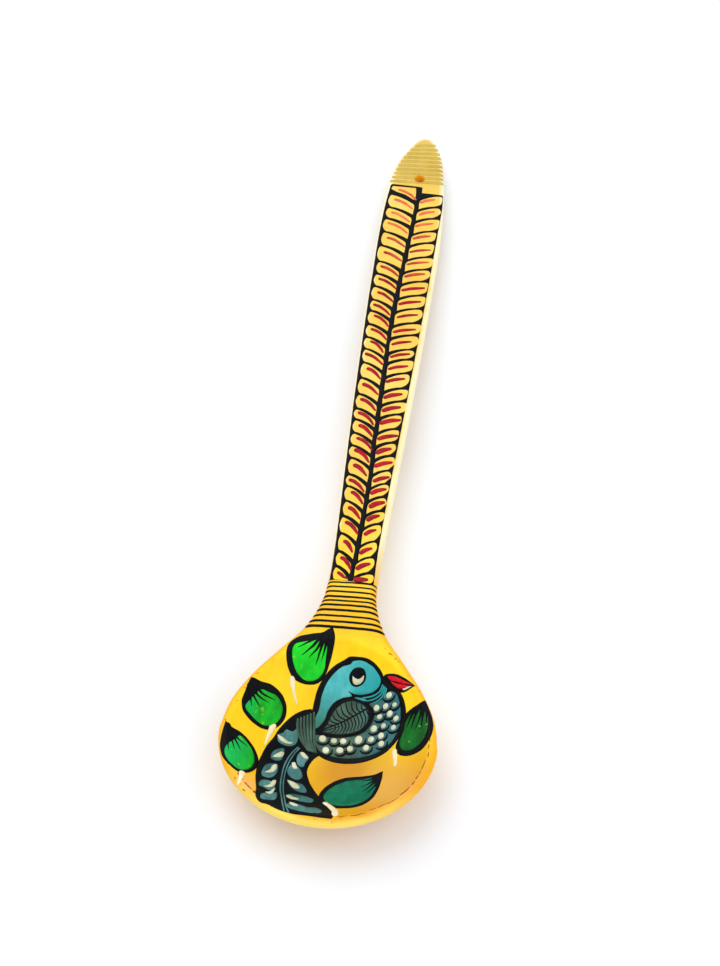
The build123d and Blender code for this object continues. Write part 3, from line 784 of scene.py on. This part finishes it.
def handle_pieces(black, red):
    rng = random.Random(7)
    vine = Paint("handle_vine", black, 0.09, margin=0.3)
    lefts = spacings(LEFT_LEAVES, 6.2)
    rights = spacings(RIGHT_LEAVES, 5.4)
    holes = [left_leaf(top, room, rng) for top, room in lefts]
    holes += [right_leaf(top, room, rng) for top, room in rights]
    vine.patch(vine_border(), holes + [end_leaf()])
    vine.piece("handle_vine_ground")

    strokes = Paint("red_strokes_left", red, 0.16, rough_edge=0.1)
    for top, room in lefts + [(275.3, 5.5)]:
        usual = table_value([(88, 1.2), (140, 1.6), (200, 1.2), (275, 1.1)], top)
        width = rng.uniform(0.9, 1.2) * usual
        stem = stem_x(top - 5) - 1.0 + rng.uniform(-0.5, 0.4)
        edge = 3.3 - half_width(top) + rng.uniform(-0.7, 0.9)
        drop = 0.30 * (room - 5.5) + rng.uniform(-0.3, 0.5)
        strokes.brush([(edge, top - 1.7 - drop), (between(edge, stem, 0.3), top - 2.3 - drop),
                       (between(edge, stem, 0.68), max(top - 3.9 - drop, VINE_START + 1.8)),
                       (stem, max(top - 6.2 - 0.4 * drop, VINE_START + 1.4))],
                      width * 0.95, 0.65, 0.25)
    strokes.piece("handle_red_strokes_left")

    strokes = Paint("red_strokes_right", red, 0.16, rough_edge=0.1)
    for top, room in rights:
        usual = table_value([(88, 1.6), (140, 1.9), (200, 1.25), (275, 1.0)], top)
        width = rng.uniform(0.9, 1.25) * usual
        stem = stem_x(top - 3) + 1.7 + rng.uniform(-0.3, 0.4)
        edge = half_width(top) - 3.0 + rng.uniform(-1.4, 0.2)
        drop = 0.30 * (room - 5.5) + rng.uniform(-0.6, 0.4)
        path = [(stem, top - 4.4 - drop), (between(stem, edge, 0.35), top - 3.3 - drop),
                (between(stem, edge, 0.7), top - 2.7 - drop), (edge, top - 2.3 - drop)]
        path = [(x, max(s, VINE_START + 1.3 + 0.1 * (x - stem))) for x, s in path]
        strokes.brush(path, width * 0.85, width * 0.55, 0.4)
    strokes.piece("handle_red_strokes_right")


def ring_pieces(black, olive):
    rings = Paint("neck_rings", black, 0.11, rough_edge=0.08, margin=0.12)
    for s, width in NECK_RINGS:
        half = table_value([(70, 12.6), (74, 10.8), (77, 9.8), (80, 9.0), (88, 8.1)], s)
        rings.brush([(-half, s - 0.9), (-half * 0.8, s - 0.35), (-half * 0.3, s),
                     (half * 0.3, s + 0.25), (half * 0.75, s + 0.2), (half, s - 0.5)],
                    width, width * 0.9)
    rings.piece("neck_rings")

    x, s = HOLE_AT
    clear = HOLE_RADIUS + 0.15
    turns = [2 * math.pi * i / 40 for i in range(40)]
    round_hole = [Vector((x + clear * math.cos(a), s + clear * math.sin(a))) for a in turns]
    tip = Paint("tip_rings", olive, 0.07, rough_edge=0.15, margin=0.2)
    for i in range(10):
        s = 279.0 + 2.35 * i
        half = table_value([(279, 10.2), (287, 8.9), (293, 7.3), (299, 4.8), (303, 1.8)], s)
        middle = table_value([(279, -0.4), (303, 0.6)], s)
        top = [(middle - half, s - 0.05), (middle, s + 0.7), (middle + half, s + 1.25)]
        low = [(middle + half, s - 0.25), (middle, s - 0.75), (middle - half, s - 1.35)]
        holes = [round_hole] if abs(s - HOLE_AT[1]) < 4 else []
        tip.patch(smooth_curve(top) + smooth_curve(low), holes)
    tip.piece("tip_rings")


# ---- the five leaves in the bowl ----
def leaf(place, black, tone, outer, inner, hatching):
    """A black leaf, its coloured inside, and black strokes that fan out from its point."""
    line = Paint(f"leaf_{place}_outline", black, 0.1)
    line.pointed(*outer)
    line.piece(f"leaf_{place}_outline")
    fill = Paint(f"leaf_{place}_green", tone, 0.15)
    fill.blob(*inner)
    fill.piece(f"leaf_{place}_green")
    hatch = Paint(f"leaf_{place}_hatching", black, 0.2, rough_edge=0.08)
    for start, middle, end in hatching:
        end = (end[0] + 0.35 * (end[0] - middle[0]), end[1] + 0.35 * (end[1] - middle[1]))
        hatch.brush([start, middle, end], 1.35, 0.12)
    hatch.piece(slot="black_paint")


def leaf_pieces(black, bright_green, green, deep_green, sea_green):
    leaf("top", black, bright_green,
         [(-4.0, 70.2), (-2.9, 67.4), (-2.7, 65), (-3.4, 60), (-4.4, 56), (-6.4, 53.2), (-10.5, 51.9),
          (-14.3, 52.7), (-16.4, 55.4), (-17.3, 59.5), (-16.9, 62.4), (-14.6, 65.1), (-10, 67),
          (-6.8, 67.9), (-5.4, 69.2)],
         [(-5.3, 64.6), (-4.9, 60.5), (-5.2, 56.6), (-7.2, 54), (-10.3, 53), (-13, 54.2), (-14.9, 57),
          (-15.5, 60), (-14.8, 62.4), (-12.6, 63.5), (-9.8, 64.4), (-7.4, 65.4)],
         [[(-5.2, 66.5), (-5.5, 63), (-6.0, 60.2)], [(-5.6, 67), (-6.8, 62.5), (-7.6, 59)],
          [(-6, 67), (-7.8, 62.6), (-9.6, 60.2)], [(-6.6, 67), (-9, 63.2), (-11.6, 60.4)],
          [(-7, 66.6), (-10, 64.3), (-13, 62)]])
    leaf("middle", black, green,
         [(-26.9, 48.5), (-24, 48.2), (-20.5, 48.5), (-17.6, 47.4), (-15.6, 45), (-14.9, 42),
          (-15.8, 38.4), (-18, 35.6), (-21, 34.4), (-25, 35.3), (-27.7, 37.3), (-28.5, 40), (-28, 43),
          (-27.5, 46)],
         [(-23.4, 45.9), (-20.4, 46.4), (-17.8, 45.4), (-16.3, 43), (-16.6, 39.4), (-18.6, 36.6),
          (-21.4, 35.6), (-24.9, 36.8), (-27.2, 38.8), (-26.4, 41), (-25, 43.6)],
         [[(-26.4, 47.6), (-22.5, 46.6), (-18.6, 46.2)], [(-26.4, 47.2), (-23, 45), (-19.8, 44.6)],
          [(-26.6, 46.6), (-24, 43.8), (-21.4, 43.2)], [(-26.8, 46), (-25, 42.8), (-23.2, 41)],
          [(-27, 45.6), (-26.2, 42.4), (-25.6, 40.4)]])
    leaf("left", black, green,
         [(-32.2, 31.9), (-30.4, 30.5), (-27.4, 30.2), (-24.4, 28.6), (-21.7, 25.4), (-20.5, 21.8),
          (-21.4, 18.2), (-23.4, 15.7), (-25.6, 14.9), (-28.6, 16.8), (-31, 19.2), (-32.5, 23),
          (-32.6, 27.4)],
         [(-27.4, 28.9), (-24.6, 27.4), (-22.6, 24.6), (-21.9, 21.2), (-23, 17.8), (-25.4, 16),
          (-28, 17.2), (-30.2, 19.6), (-30.8, 22), (-29.8, 24.8), (-28.4, 27)],
         [[(-31.2, 30.6), (-28.4, 28), (-25.4, 26.6)], [(-31.2, 30.2), (-28.6, 27), (-26.8, 24.6)],
          [(-31.4, 29.8), (-29.6, 26.4), (-28.4, 24)], [(-31.6, 29), (-30.6, 25.8), (-29.9, 23)]])
    leaf("right", black, deep_green,
         [(28.5, 47.4), (26.6, 45.9), (24.2, 44.9), (22.5, 43.6), (22.1, 41), (21.4, 37), (20.6, 33.6),
          (21.9, 30.6), (25.4, 29.4), (28.9, 30.4), (31, 33.4), (31.7, 37.5), (31, 41.4), (29.9, 44.6)],
         [(26.8, 43.8), (24.4, 43.4), (22.9, 41.4), (22.5, 38.4), (21.6, 35), (22.5, 32.4), (25, 31.3),
          (28, 32.6), (29.6, 35.4), (30, 39), (29, 42.6)],
         [[(28, 46), (27.2, 42), (26.4, 39)], [(28.2, 46), (28, 42), (27.9, 38.6)],
          [(27.6, 45.8), (25.6, 42.4), (25, 39.4)], [(27, 45.4), (24.6, 42.8), (23.6, 40)],
          [(28.4, 45.6), (29.2, 42), (29.3, 39.6)]])
    leaf("lower", black, sea_green,
         [(17.7, 25.2), (15, 24.1), (11, 23.6), (6.5, 23), (3, 21.2), (0.2, 17.8), (-0.8, 14.2),
          (0.3, 11.1), (3.4, 9), (8, 8.6), (12.6, 9.8), (15.6, 13), (17, 17), (17.6, 21)],
         [(15.2, 22.8), (11.6, 22.3), (7.6, 21.8), (4.1, 20), (1.4, 16.8), (0.7, 13.6), (2.8, 11),
          (7, 9.9), (11.4, 10.9), (14.4, 13.4), (15.9, 17), (16.2, 20.2)],
         [[(17, 24.2), (14.4, 22.3), (12.2, 21.8)], [(17, 23.8), (14, 20.6), (12.4, 19.4)],
          [(17, 23.4), (14.6, 19.6), (12.8, 17.6)], [(17.1, 23), (15.6, 18.8), (14.2, 16.8)],
          [(17.1, 22.6), (16.5, 18.4), (15.9, 16.6)]])


# ---- the bird ----
def bird_pieces(black, teal, moss, red, cream):
    outline = Paint("bird_outline", black, 0.1, rough_edge=0.06)
    outline.pointed((-7.2, 44.6), (-6.9, 48), (-6.2, 52), (-4.6, 55.6), (-2, 58.8), (1.2, 60.9),
        (2.4, 61.6), (5.4, 61.7), (8.8, 61), (11.6, 59.1), (13.6, 56.8), (14.4, 55.2), (16.8, 53.2),
        (19.6, 51), (21.2, 48.6), (22.4, 45), (22.7, 41.6), (21.9, 37.8), (20.4, 35), (17.4, 31.8),
        (13.4, 29.8), (9, 28.6), (4.4, 28.3), (0, 28.9), (-3.2, 30.3), (-6, 32.4), (-7.8, 35.4),
        (-8, 40))
    outline.piece("bird_outline")

    head = Paint("bird_head_and_neck", teal, 0.16)
    head.blob((-5.1, 45.5), (-4.8, 49.5), (-3.9, 53.2), (-1.7, 56.8), (0.8, 58.9), (3.2, 59.7),
        (3.7, 60.4), (6.6, 60.6), (9.6, 59.3), (11.9, 57.2), (13.2, 55.2), (13, 53.2), (11.4, 51.8),
        (8.4, 51.1), (5.2, 51.3), (3.4, 51.9), (4.6, 50.7), (1.8, 49.9), (-0.7, 48.3), (-2.2, 45.6),
        (-3.1, 42.2), (-4.8, 39.6), (-5.8, 39.2), (-6, 42))
    head.piece("bird_head_and_neck")

    throat = Paint("bird_throat", teal, 0.16, rough_edge=0.05)
    for k in range(4):
        reach = 0.62 * k
        throat.brush([(8.2 + 1.3 * k, 50.1 - 0.95 * k), (11.2 + 0.75 * k, 50.5 - 0.9 * k),
            (13.3 + 0.5 * k, 51.6 - 0.8 * k), (14.1 + 0.45 * k, 53.4 - reach * 0.6)], 0.3, 0.4, 0.14)
    throat.blob((5.6, 50.2), (8.6, 49.9), (9.6, 49.3), (8.6, 49.1), (7, 49.6))
    throat.piece("bird_throat")

    breast = Paint("bird_breast", moss, 0.16)
    breast.blob((16.5, 51.3), (18.6, 50.5), (20.1, 47.6), (20.9, 44), (21, 41), (20.2, 37.6),
        (18.4, 34.6), (15, 32.2), (10.6, 30.8), (5.6, 30.2), (1, 30.5), (-2.6, 31.6), (-4.6, 33.6),
        (-5.4, 36.2), (-4.2, 37.8), (-1, 37), (2.6, 37.2), (6.6, 37.9), (9.6, 39), (11.6, 41.2),
        (12.6, 44), (12, 46.6), (10.6, 48.2), (13.2, 48.6), (15.2, 49.8))
    breast.piece("bird_breast")

    dots = [(16.5, 50.2, 0.95), (13.0, 46.8, 0.9), (15.8, 47.0, 0.85), (18.6, 47.1, 0.7),
        (14.3, 44.0, 0.85), (17.4, 44.6, 0.9), (19.6, 42.8, 0.85), (12.9, 40.3, 1.05),
        (15.9, 41.0, 0.75), (19.1, 40.0, 0.8), (15.5, 37.8, 0.9), (12.5, 36.8, 1.0), (15.9, 35.1, 0.95),
        (11.3, 34.0, 1.0), (8.6, 36.7, 1.25), (6.3, 33.6, 0.95), (3.8, 36.1, 1.05), (3.2, 32.9, 1.1),
        (0.9, 36.0, 0.95), (-1.2, 32.4, 1.05), (-2.7, 36.2, 1.15)]
    scales = Paint("bird_breast_scales", black, 0.2, rough_edge=0.06)
    rng = random.Random(3)
    for x, s, r in dots:
        turn = rng.uniform(-0.2, 0.3)
        reach = r + 1.05
        arc = [(x + reach * math.cos(a + turn), s + 0.92 * reach * math.sin(a + turn))
               for a in (-2.6, -2.0, -1.3, -0.6, 0.1)]
        scales.brush(arc, 0.35, 0.3, 0.55)
    scales.piece(slot="black_paint")
    spots = Paint("bird_breast_dots", cream, 0.28, rough_edge=0.06)
    for x, s, r in dots:
        spots.disc(x, s, r, rng.uniform(0.9, 1.08))
    spots.piece("bird_breast_dots")

    wing = Paint("bird_wing", moss, 0.22)
    ring = Paint("bird_wing_outline", black, 0.19, rough_edge=0.08)
    ring.pointed((-6.4, 37.4), (-4, 39.6), (-2.4, 42.2), (-1.8, 45), (-0.4, 47.4), (2, 49.3), (4.8, 50),
        (8, 49.2), (10.8, 47.2), (12, 44.6), (11.2, 41.6), (9, 39.3), (5.4, 38), (1, 37.6),
        (-2.6, 37.2))
    ring.piece(slot="black_paint")
    wing.pointed((-3.6, 38.6), (-1.9, 41), (-1, 44.2), (0.6, 46.9), (2.8, 48.6), (5.2, 49.1),
        (7.8, 48.3), (10, 46.6), (10.9, 44.3), (10.3, 42), (8.4, 40), (5.2, 38.8), (1, 38.3))
    wing.piece("bird_wing")
    barbs = Paint("bird_wing_barbs", black, 0.27, rough_edge=0.04)
    barbs.brush([(-4.6, 38.4), (-1, 40.4), (2.4, 42.2), (6, 44.4), (10.2, 46.9)], 0.42, 0.55)
    barbs.brush([(-4.4, 38.2), (-1, 39.6), (2.6, 41.2)], 0.4, 0.2)
    tips = [(-1.9, 41.2), (-1.4, 42.9), (-0.8, 44.5), (0.2, 46.1), (1.5, 47.5), (3, 48.5), (4.7, 48.9),
        (6.4, 48.7), (8, 48)]
    for i, (x, s) in enumerate(tips):
        root = (between(0.4, 9.2, i / 8), between(41.1, 46.3, i / 8))
        elbow = (between(x, root[0], 0.45) - 0.3, between(s, root[1], 0.6) - 0.15)
        barbs.brush([(x, s), elbow, root], 0.26, 0.36, 0.1)
    for i in range(11):
        t = i / 10
        root = (between(0.4, 9.9, t), between(41.2, 46.2, t))
        tip = (between(-0.6, 10.8, t ** 0.9), between(38.5, 42.2, t ** 2.2))
        elbow = (between(root[0], tip[0], 0.35) + 0.75, between(root[1], tip[1], 0.5))
        barbs.brush([root, elbow, tip], 0.34, 0.22, 0.08)
    barbs.piece("bird_wing_barbs")

    eye = Paint("bird_eye", black, 0.22, rough_edge=0.1)
    eye.disc(5.8, 56.1, 2.75, 1.02)
    eye.piece("bird_eye")
    glint = Paint("bird_eye_glint", cream, 0.28, rough_edge=0.05)
    glint.pointed((4.2, 56.4), (5, 55.8), (6, 55.5), (7, 55.9), (7.7, 56.5), (7.7, 55.2), (6.9, 54.2),
        (5.8, 53.9), (4.8, 54.2), (4.3, 55.2))
    glint.piece("bird_eye_glint")

    line = Paint("bird_beak_outline", black, 0.11, rough_edge=0.05)
    line.pointed((24.5, 51.8), (22.9, 53), (20.6, 54.6), (18.4, 55.8), (16.2, 56.4), (14.2, 56.1),
        (14.4, 54.6), (16.4, 52.8), (19.2, 50.8), (21, 50.3), (23, 50.9))
    line.piece("bird_beak_outline")
    beak = Paint("bird_beak", red, 0.18, rough_edge=0.05)
    beak.pointed((23.6, 52.1), (21.4, 53.3), (19.4, 54.5), (17.4, 55.4), (15.3, 55.7), (16.3, 54.6),
        (18.6, 53.7), (21.2, 52.6))
    beak.pointed((22.4, 51.9), (20.2, 52.7), (18.2, 53.4), (16.6, 54.1), (17.8, 52.8), (19.4, 51.7),
        (21.2, 51.4))
    beak.piece("bird_beak")
    tongue = Paint("bird_beak_gap", cream, 0.17, rough_edge=0.03)
    tongue.pointed((23.4, 51.6), (22.2, 51.7), (20.6, 51.3), (21, 50.9), (22.4, 51.2))
    tongue.piece(slot="cream_paint")

    ground = Paint("bird_collar_ground", black, 0.17, rough_edge=0.1)
    ground.blob((-12.4, 41.2), (-10.2, 43.4), (-7, 44.8), (-6.4, 42), (-6.2, 38), (-5, 34.4),
        (-4, 31.4), (-5.4, 30.5), (-7.6, 31), (-9.8, 34), (-11.3, 37.6))
    ground.piece("bird_collar_ground")
    bands = Paint("bird_collar_bands", moss, 0.23, rough_edge=0.06)
    for k in range(6):
        x = 1.06 * k
        bands.brush([(-11.2 + 0.88 * x, 41 + 0.62 * k), (-10.9 + 0.95 * x, 38.2 + 0.3 * k),
            (-9.6 + 0.84 * x, 35 - 0.1 * k), (-6.8 + 0.52 * x, 31.5 - 0.08 * k)], 0.62, 0.4, 0.28)
    bands.piece("bird_collar_bands")


def tail_pieces(black, teal, cream, wash):
    ground = Paint("tail_ground", black, 0.12)
    ground.pointed((-7.4, 45.2), (-9.8, 44.2), (-12.4, 42.2), (-14.6, 39.4), (-16.4, 36.2), (-17.6, 33),
        (-19.2, 29.4), (-20.2, 25.4), (-20.8, 20), (-20.4, 15.4), (-19.4, 10.8), (-18.8, 7),
        (-17.6, 5.4), (-14.6, 4.6), (-11, 3.2), (-7, 2.5), (-2, 2.4), (3, 2.3), (5, 2.5), (4.8, 5),
        (3.4, 8.6), (0.8, 12), (-0.7, 13.9), (-2.6, 16.6), (-4.4, 19.6), (-5.8, 23.4), (-5.6, 26),
        (-4.4, 28.8), (-2.9, 30.7), (-5.6, 33), (-7, 38))
    ground.piece("tail_ground")

    ribs = Paint("tail_ribs", teal, 0.2, rough_edge=0.05)
    ribs.brush([(-9.9, 31.8), (-11.6, 29), (-12.8, 25), (-13.1, 20), (-12.7, 14.6), (-11.3, 9),
        (-10.2, 5), (-9.7, 3.3)], 0.4, 0.5)
    ribs.brush([(-9.4, 31.6), (-10.9, 28.6), (-11.9, 25), (-12.3, 20), (-11.8, 14.6), (-10.4, 9),
        (-9.2, 4.8), (-8.3, 2.9)], 0.35, 0.45)
    ribs.piece("tail_ribs")

    feathers = Paint("tail_feathers", teal, 0.2, rough_edge=0.06)
    feather_shapes = [
        [(-16.4, 34.2), (-15, 35.4), (-14.2, 36.7), (-12.2, 36.6), (-10.9, 38), (-10.3, 35.6),
         (-10.8, 32.6), (-12.8, 31.4), (-15.4, 31.6), (-16.4, 32.6)],
        [(-17.3, 25.4), (-17.3, 27.4), (-16, 29.3), (-14, 30.1), (-13.8, 28.2), (-14.2, 26),
         (-15.6, 25.1)],
        [(-18.8, 17.4), (-19, 20), (-18.4, 22.2), (-17, 23.4), (-15.1, 23.8), (-14.7, 21),
         (-15.4, 18.6), (-17, 17.2)],
        [(-18.8, 12.4), (-18.9, 14.4), (-18, 15.7), (-15.4, 16), (-14.4, 14.6), (-13.9, 12.8),
         (-15.4, 11.6), (-17.4, 12.2)],
        [(-17.3, 6.6), (-17.2, 8.8), (-16.2, 9.6), (-15, 10.4), (-13.4, 11.6), (-12.9, 9.6),
         (-13.3, 7.4), (-14.8, 6.3)],
        [(-9, 30.2), (-7.6, 30.2), (-6.1, 29), (-6.8, 27), (-7.4, 25.1), (-8.6, 25.2), (-9.7, 27.6)],
        [(-11.4, 24.4), (-10.6, 25.6), (-8.8, 24.8), (-7.4, 23), (-7, 21), (-8.4, 19.6), (-10.8, 20.4),
         (-11.8, 22.4)],
        [(-11.2, 18.6), (-9, 18.4), (-6.6, 18.2), (-5.2, 16.6), (-4.8, 14.9), (-7, 14.5), (-8.9, 15.4),
         (-10.4, 16.8)],
        [(-10.5, 11.4), (-9, 12.8), (-6, 13.1), (-3.4, 12.7), (-2, 11.8), (-2.4, 10.4), (-5, 9.9),
         (-8.4, 10.3)],
        [(-9.6, 6.4), (-8.4, 7.9), (-6, 8.2), (-3.4, 7.4), (-0.6, 7.7), (1.3, 6.4), (1.2, 5),
         (-1.6, 4.2), (-5.6, 4.2), (-8.8, 4.9)],
    ]
    for points in feather_shapes:
        feathers.blob(*points)
    feathers.piece("tail_feathers")

    light = Paint("tail_feather_highlights", cream, 0.27, rough_edge=0.1)
    light_shapes = [
        [(-16.6, 34.2), (-14.8, 33.8), (-13.2, 33), (-11.6, 33), (-12.6, 32.3), (-14.6, 32.2),
         (-16, 33)],
        [(-17, 26.1), (-15.6, 27.9), (-14.4, 28.9), (-13.7, 28.7), (-14, 27.3), (-15.4, 26.4)],
        [(-18.3, 18.9), (-16.8, 21.2), (-16.4, 22.8), (-15.3, 23.7), (-15.2, 21.6), (-16.4, 19.8)],
        [(-17.6, 12.6), (-16, 14.4), (-15.4, 16.6), (-14.5, 17.2), (-14.5, 14.8), (-15.6, 13.2)],
        [(-16.6, 10), (-15.4, 11), (-14.6, 12.8), (-14.2, 13.2), (-14.4, 10.8), (-15.2, 9.8)],
        [(-9, 30.3), (-8, 30.5), (-6.8, 29.6), (-6.2, 28.8), (-7, 28.3), (-8.2, 29)],
        [(-10.9, 25.9), (-10, 26.2), (-9.4, 25.2), (-9.1, 24.1), (-9.8, 23.8), (-10.6, 24.6)],
        [(-11.2, 18.7), (-9.4, 18.5), (-8, 17.8), (-7, 16.4), (-7.6, 15.8), (-9, 15.9), (-10.2, 17)],
        [(-10.5, 11.4), (-9.4, 12), (-8, 11.4), (-6.4, 11.2), (-6.6, 10.5), (-8.6, 10.1), (-9.8, 10.5)],
        [(-9, 8.4), (-7.8, 8.5), (-6.4, 7.9), (-6, 7), (-7.2, 6.7), (-8.4, 7.2)],
    ]
    for points in light_shapes:
        light.pointed(*points)
    light.piece("tail_feather_highlights")

    dashes = Paint("light_dashes", wash, 0.14, rough_edge=0.06)
    dashes.brush([(-14.5, 52.2), (-14, 50.2), (-13.2, 48), (-12.1, 45.7)], 1.8, 0.5)
    dashes.brush([(-18.3, 36.6), (-18.9, 34.4), (-19.4, 32), (-19.8, 29.6)], 1.9, 0.4)
    dashes.brush([(-24.3, 15.1), (-24.4, 12.8), (-24.8, 10.4)], 1.8, 0.7)
    dashes.brush([(20.4, 32), (20.9, 29.6), (21.2, 26.8)], 1.6, 1.0)
    dashes.brush([(1.6, 10.9), (3.6, 9), (5.2, 6.8), (5.6, 4.6)], 1.5, 2.1)
    dashes.piece("light_dashes")


def hollow_edge(degrees, share=1.0):
    """A place on the edge of the hollow, by its angle round the near half of the bowl."""
    angle = math.radians(degrees)
    return ((BOWL_HALF_WIDTH - RIM_BAND) * share * math.cos(angle),
            WIDEST_AT + (WIDEST_AT - RIM_BAND) * share * math.sin(angle))


def rim_shade_and_wear(brown):
    """A broken brown line along the edge of the hollow, partly painted shade where the rim turns down
    into it and partly paint rubbed thin by handling, and chips where handling has rubbed the yellow off
    the rim.
    """
    rng = random.Random(11)
    painted_light_and_wear = Paint("rim_shade_and_wear", brown, 0.05, rough_edge=0.16, margin=0.3)
    # Painted shade mixed with wear: these broken strokes darken the edge of the hollow where the rim
    # turns down into it; the chips below are rubbed paint.
    stretches = [(-152, -122, 0.6), (-120, -104, 0.3), (-78, -52, 0.2), (-48, -22, 0.26),
                 (-20, 6, 0.16)]
    for start, end, width in stretches:
        degrees = start
        while degrees < end:
            length = rng.uniform(3, 9)
            share = rng.uniform(0.99, 1.012)
            stops = [hollow_edge(degrees + length * t, share) for t in (0, 0.5, 1)]
            painted_light_and_wear.brush(stops, width * rng.uniform(0.8, 1.7), 0.1, 0.15)
            degrees += length + rng.uniform(0.5, 3)
    chips = [(15.6, 62.4, 0.5), (17.4, 60.8, 0.34), (18.4, 60, 0.22), (13.6, 64.4, 0.2),
             (-26, 12.4, 0.3), (-22.6, 8.6, 0.36), (-24.2, 10.6, 0.2), (-31.4, 38, 0.18),
             (-29, 17, 0.2), (22, 55, 0.2)]
    for x, s, size in chips:
        painted_light_and_wear.brush([(x - size, s + 0.6 * size), (x, s), (x + 1.4 * size, s - 1.1 * size)], size, 0.1)
    painted_light_and_wear.piece(slot="yellow_painted_wood")


# ---- what the spoon lies on, the light and the camera ----
def floor():
    bpy.ops.mesh.primitive_plane_add(size=4, location=(0, 0, 0))
    plane = bpy.context.object
    plane.name = "floor"
    sh = Shader("floor_cloth")
    tone = sh.ramp(sh.noise(9, 3, 0.5), [(0.3, (240, 242, 246)), (0.7, (247, 249, 252))])
    sh.link(tone, sh.bsdf.inputs["Base Color"])
    sh.bsdf.inputs["Roughness"].default_value = 0.9
    plane.data.materials.append(sh.material)


def area_light(name, place, aim, size, power, tone):
    data = bpy.data.lights.new(name, "AREA")
    data.shape = "DISK"
    data.size = size
    data.energy = power
    data.color = tone
    made = bpy.data.objects.new(name, data)
    bpy.context.collection.objects.link(made)
    made.location = place
    made.rotation_euler = (Vector(aim) - Vector(place)).to_track_quat("-Z", "Y").to_euler()


def lights():
    area_light("window", (-0.75, 0.7, 1.5), (0, 0, 0), 2.2, 14.5, (1.0, 0.985, 0.965))
    area_light("fill", (1.0, -0.7, 1.2), (0, 0, 0), 2.4, 9, (1.0, 0.97, 0.95))
    world = bpy.data.worlds.new("studio")
    bpy.context.scene.world = world
    world.use_nodes = True
    background = world.node_tree.nodes["Background"]
    background.inputs["Color"].default_value = (0.93, 0.96, 1.0, 1)
    background.inputs["Strength"].default_value = 0.83
    bpy.context.scene.view_settings.view_transform = "Standard"


def camera():
    """Looks down along the spoon from past the bowl, a little to its right."""
    azimuth = math.radians(7.35)
    elevation = math.radians(53.0)
    distance = 0.730
    target = Vector((-0.0032, -0.0208, 0.012))
    back = Vector((math.sin(azimuth) * math.cos(elevation), -math.cos(azimuth) * math.cos(elevation),
                   math.sin(elevation)))
    data = bpy.data.cameras.new("camera")
    data.sensor_width = 36.0
    data.lens = 80.7
    made = bpy.data.objects.new("camera", data)
    bpy.context.collection.objects.link(made)
    made.location = target + back * distance
    made.rotation_euler = back.to_track_quat("Z", "Y").to_euler()
    bpy.context.scene.camera = made


camera()
lights()
floor()

body = carved_body()
drilled(body)
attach(body, "root")
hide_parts("wooden_body")

black = black_enamel()
red = faded_red()
olive = enamel("olive_wash", (186, 158, 62), (200, 172, 74), (216, 188, 92), turn=1.5)
teal = enamel("teal_enamel", (44, 156, 160), (78, 184, 186), (118, 206, 204), turn=0.3,
              drifts=[("X", 0.003, 0.012, (24, 158, 160)), ("Y", -0.1, -0.111, (48, 106, 82))])
smoky = enamel("smoky_teal_enamel", (40, 84, 84), (68, 120, 118), (110, 162, 164), turn=1.2)
moss = enamel("moss_enamel", (36, 60, 50), (60, 88, 72), (90, 122, 104), turn=0.8,
              drifts=[("X", 0.006, 0.02, (46, 112, 122))])
lime = (150, 220, 20)
bright_green = enamel("bright_leaf_enamel", (0, 168, 20), (0, 210, 30), (40, 230, 40), turn=0.2,
                      specks=lime)
green = enamel("leaf_enamel", (0, 120, 18), (0, 172, 26), (30, 204, 34), turn=0.2,
               drifts=[("X", -0.0225, -0.0275, (0, 184, 84))], specks=lime)
deep_green = enamel("deep_leaf_enamel", (0, 70, 18), (0, 96, 26), (16, 128, 32), turn=0.2,
                    specks=lime)
sea_green = enamel("sea_leaf_enamel", (0, 84, 60), (0, 116, 82), (14, 146, 106), turn=0.2)
wash = enamel("pale_wash", (246, 218, 150), (252, 234, 190), (255, 244, 218), turn=0.1)
cream = enamel("cream_enamel", (184, 186, 150), (215, 216, 180), (240, 240, 216), turn=0.5)
beak_red = enamel("beak_enamel", (186, 0, 16), (216, 2, 24), (236, 26, 40), turn=0.4)

rim_shade_and_wear(enamel("shade_and_wear_orange", (112, 58, 0), (168, 88, 4), (220, 128, 10), turn=0.9))
handle_pieces(black, red)
ring_pieces(black, olive)
leaf_pieces(black, bright_green, green, deep_green, sea_green)
tail_pieces(black, smoky, cream, wash)
bird_pieces(black, teal, moss, beak_red, cream)
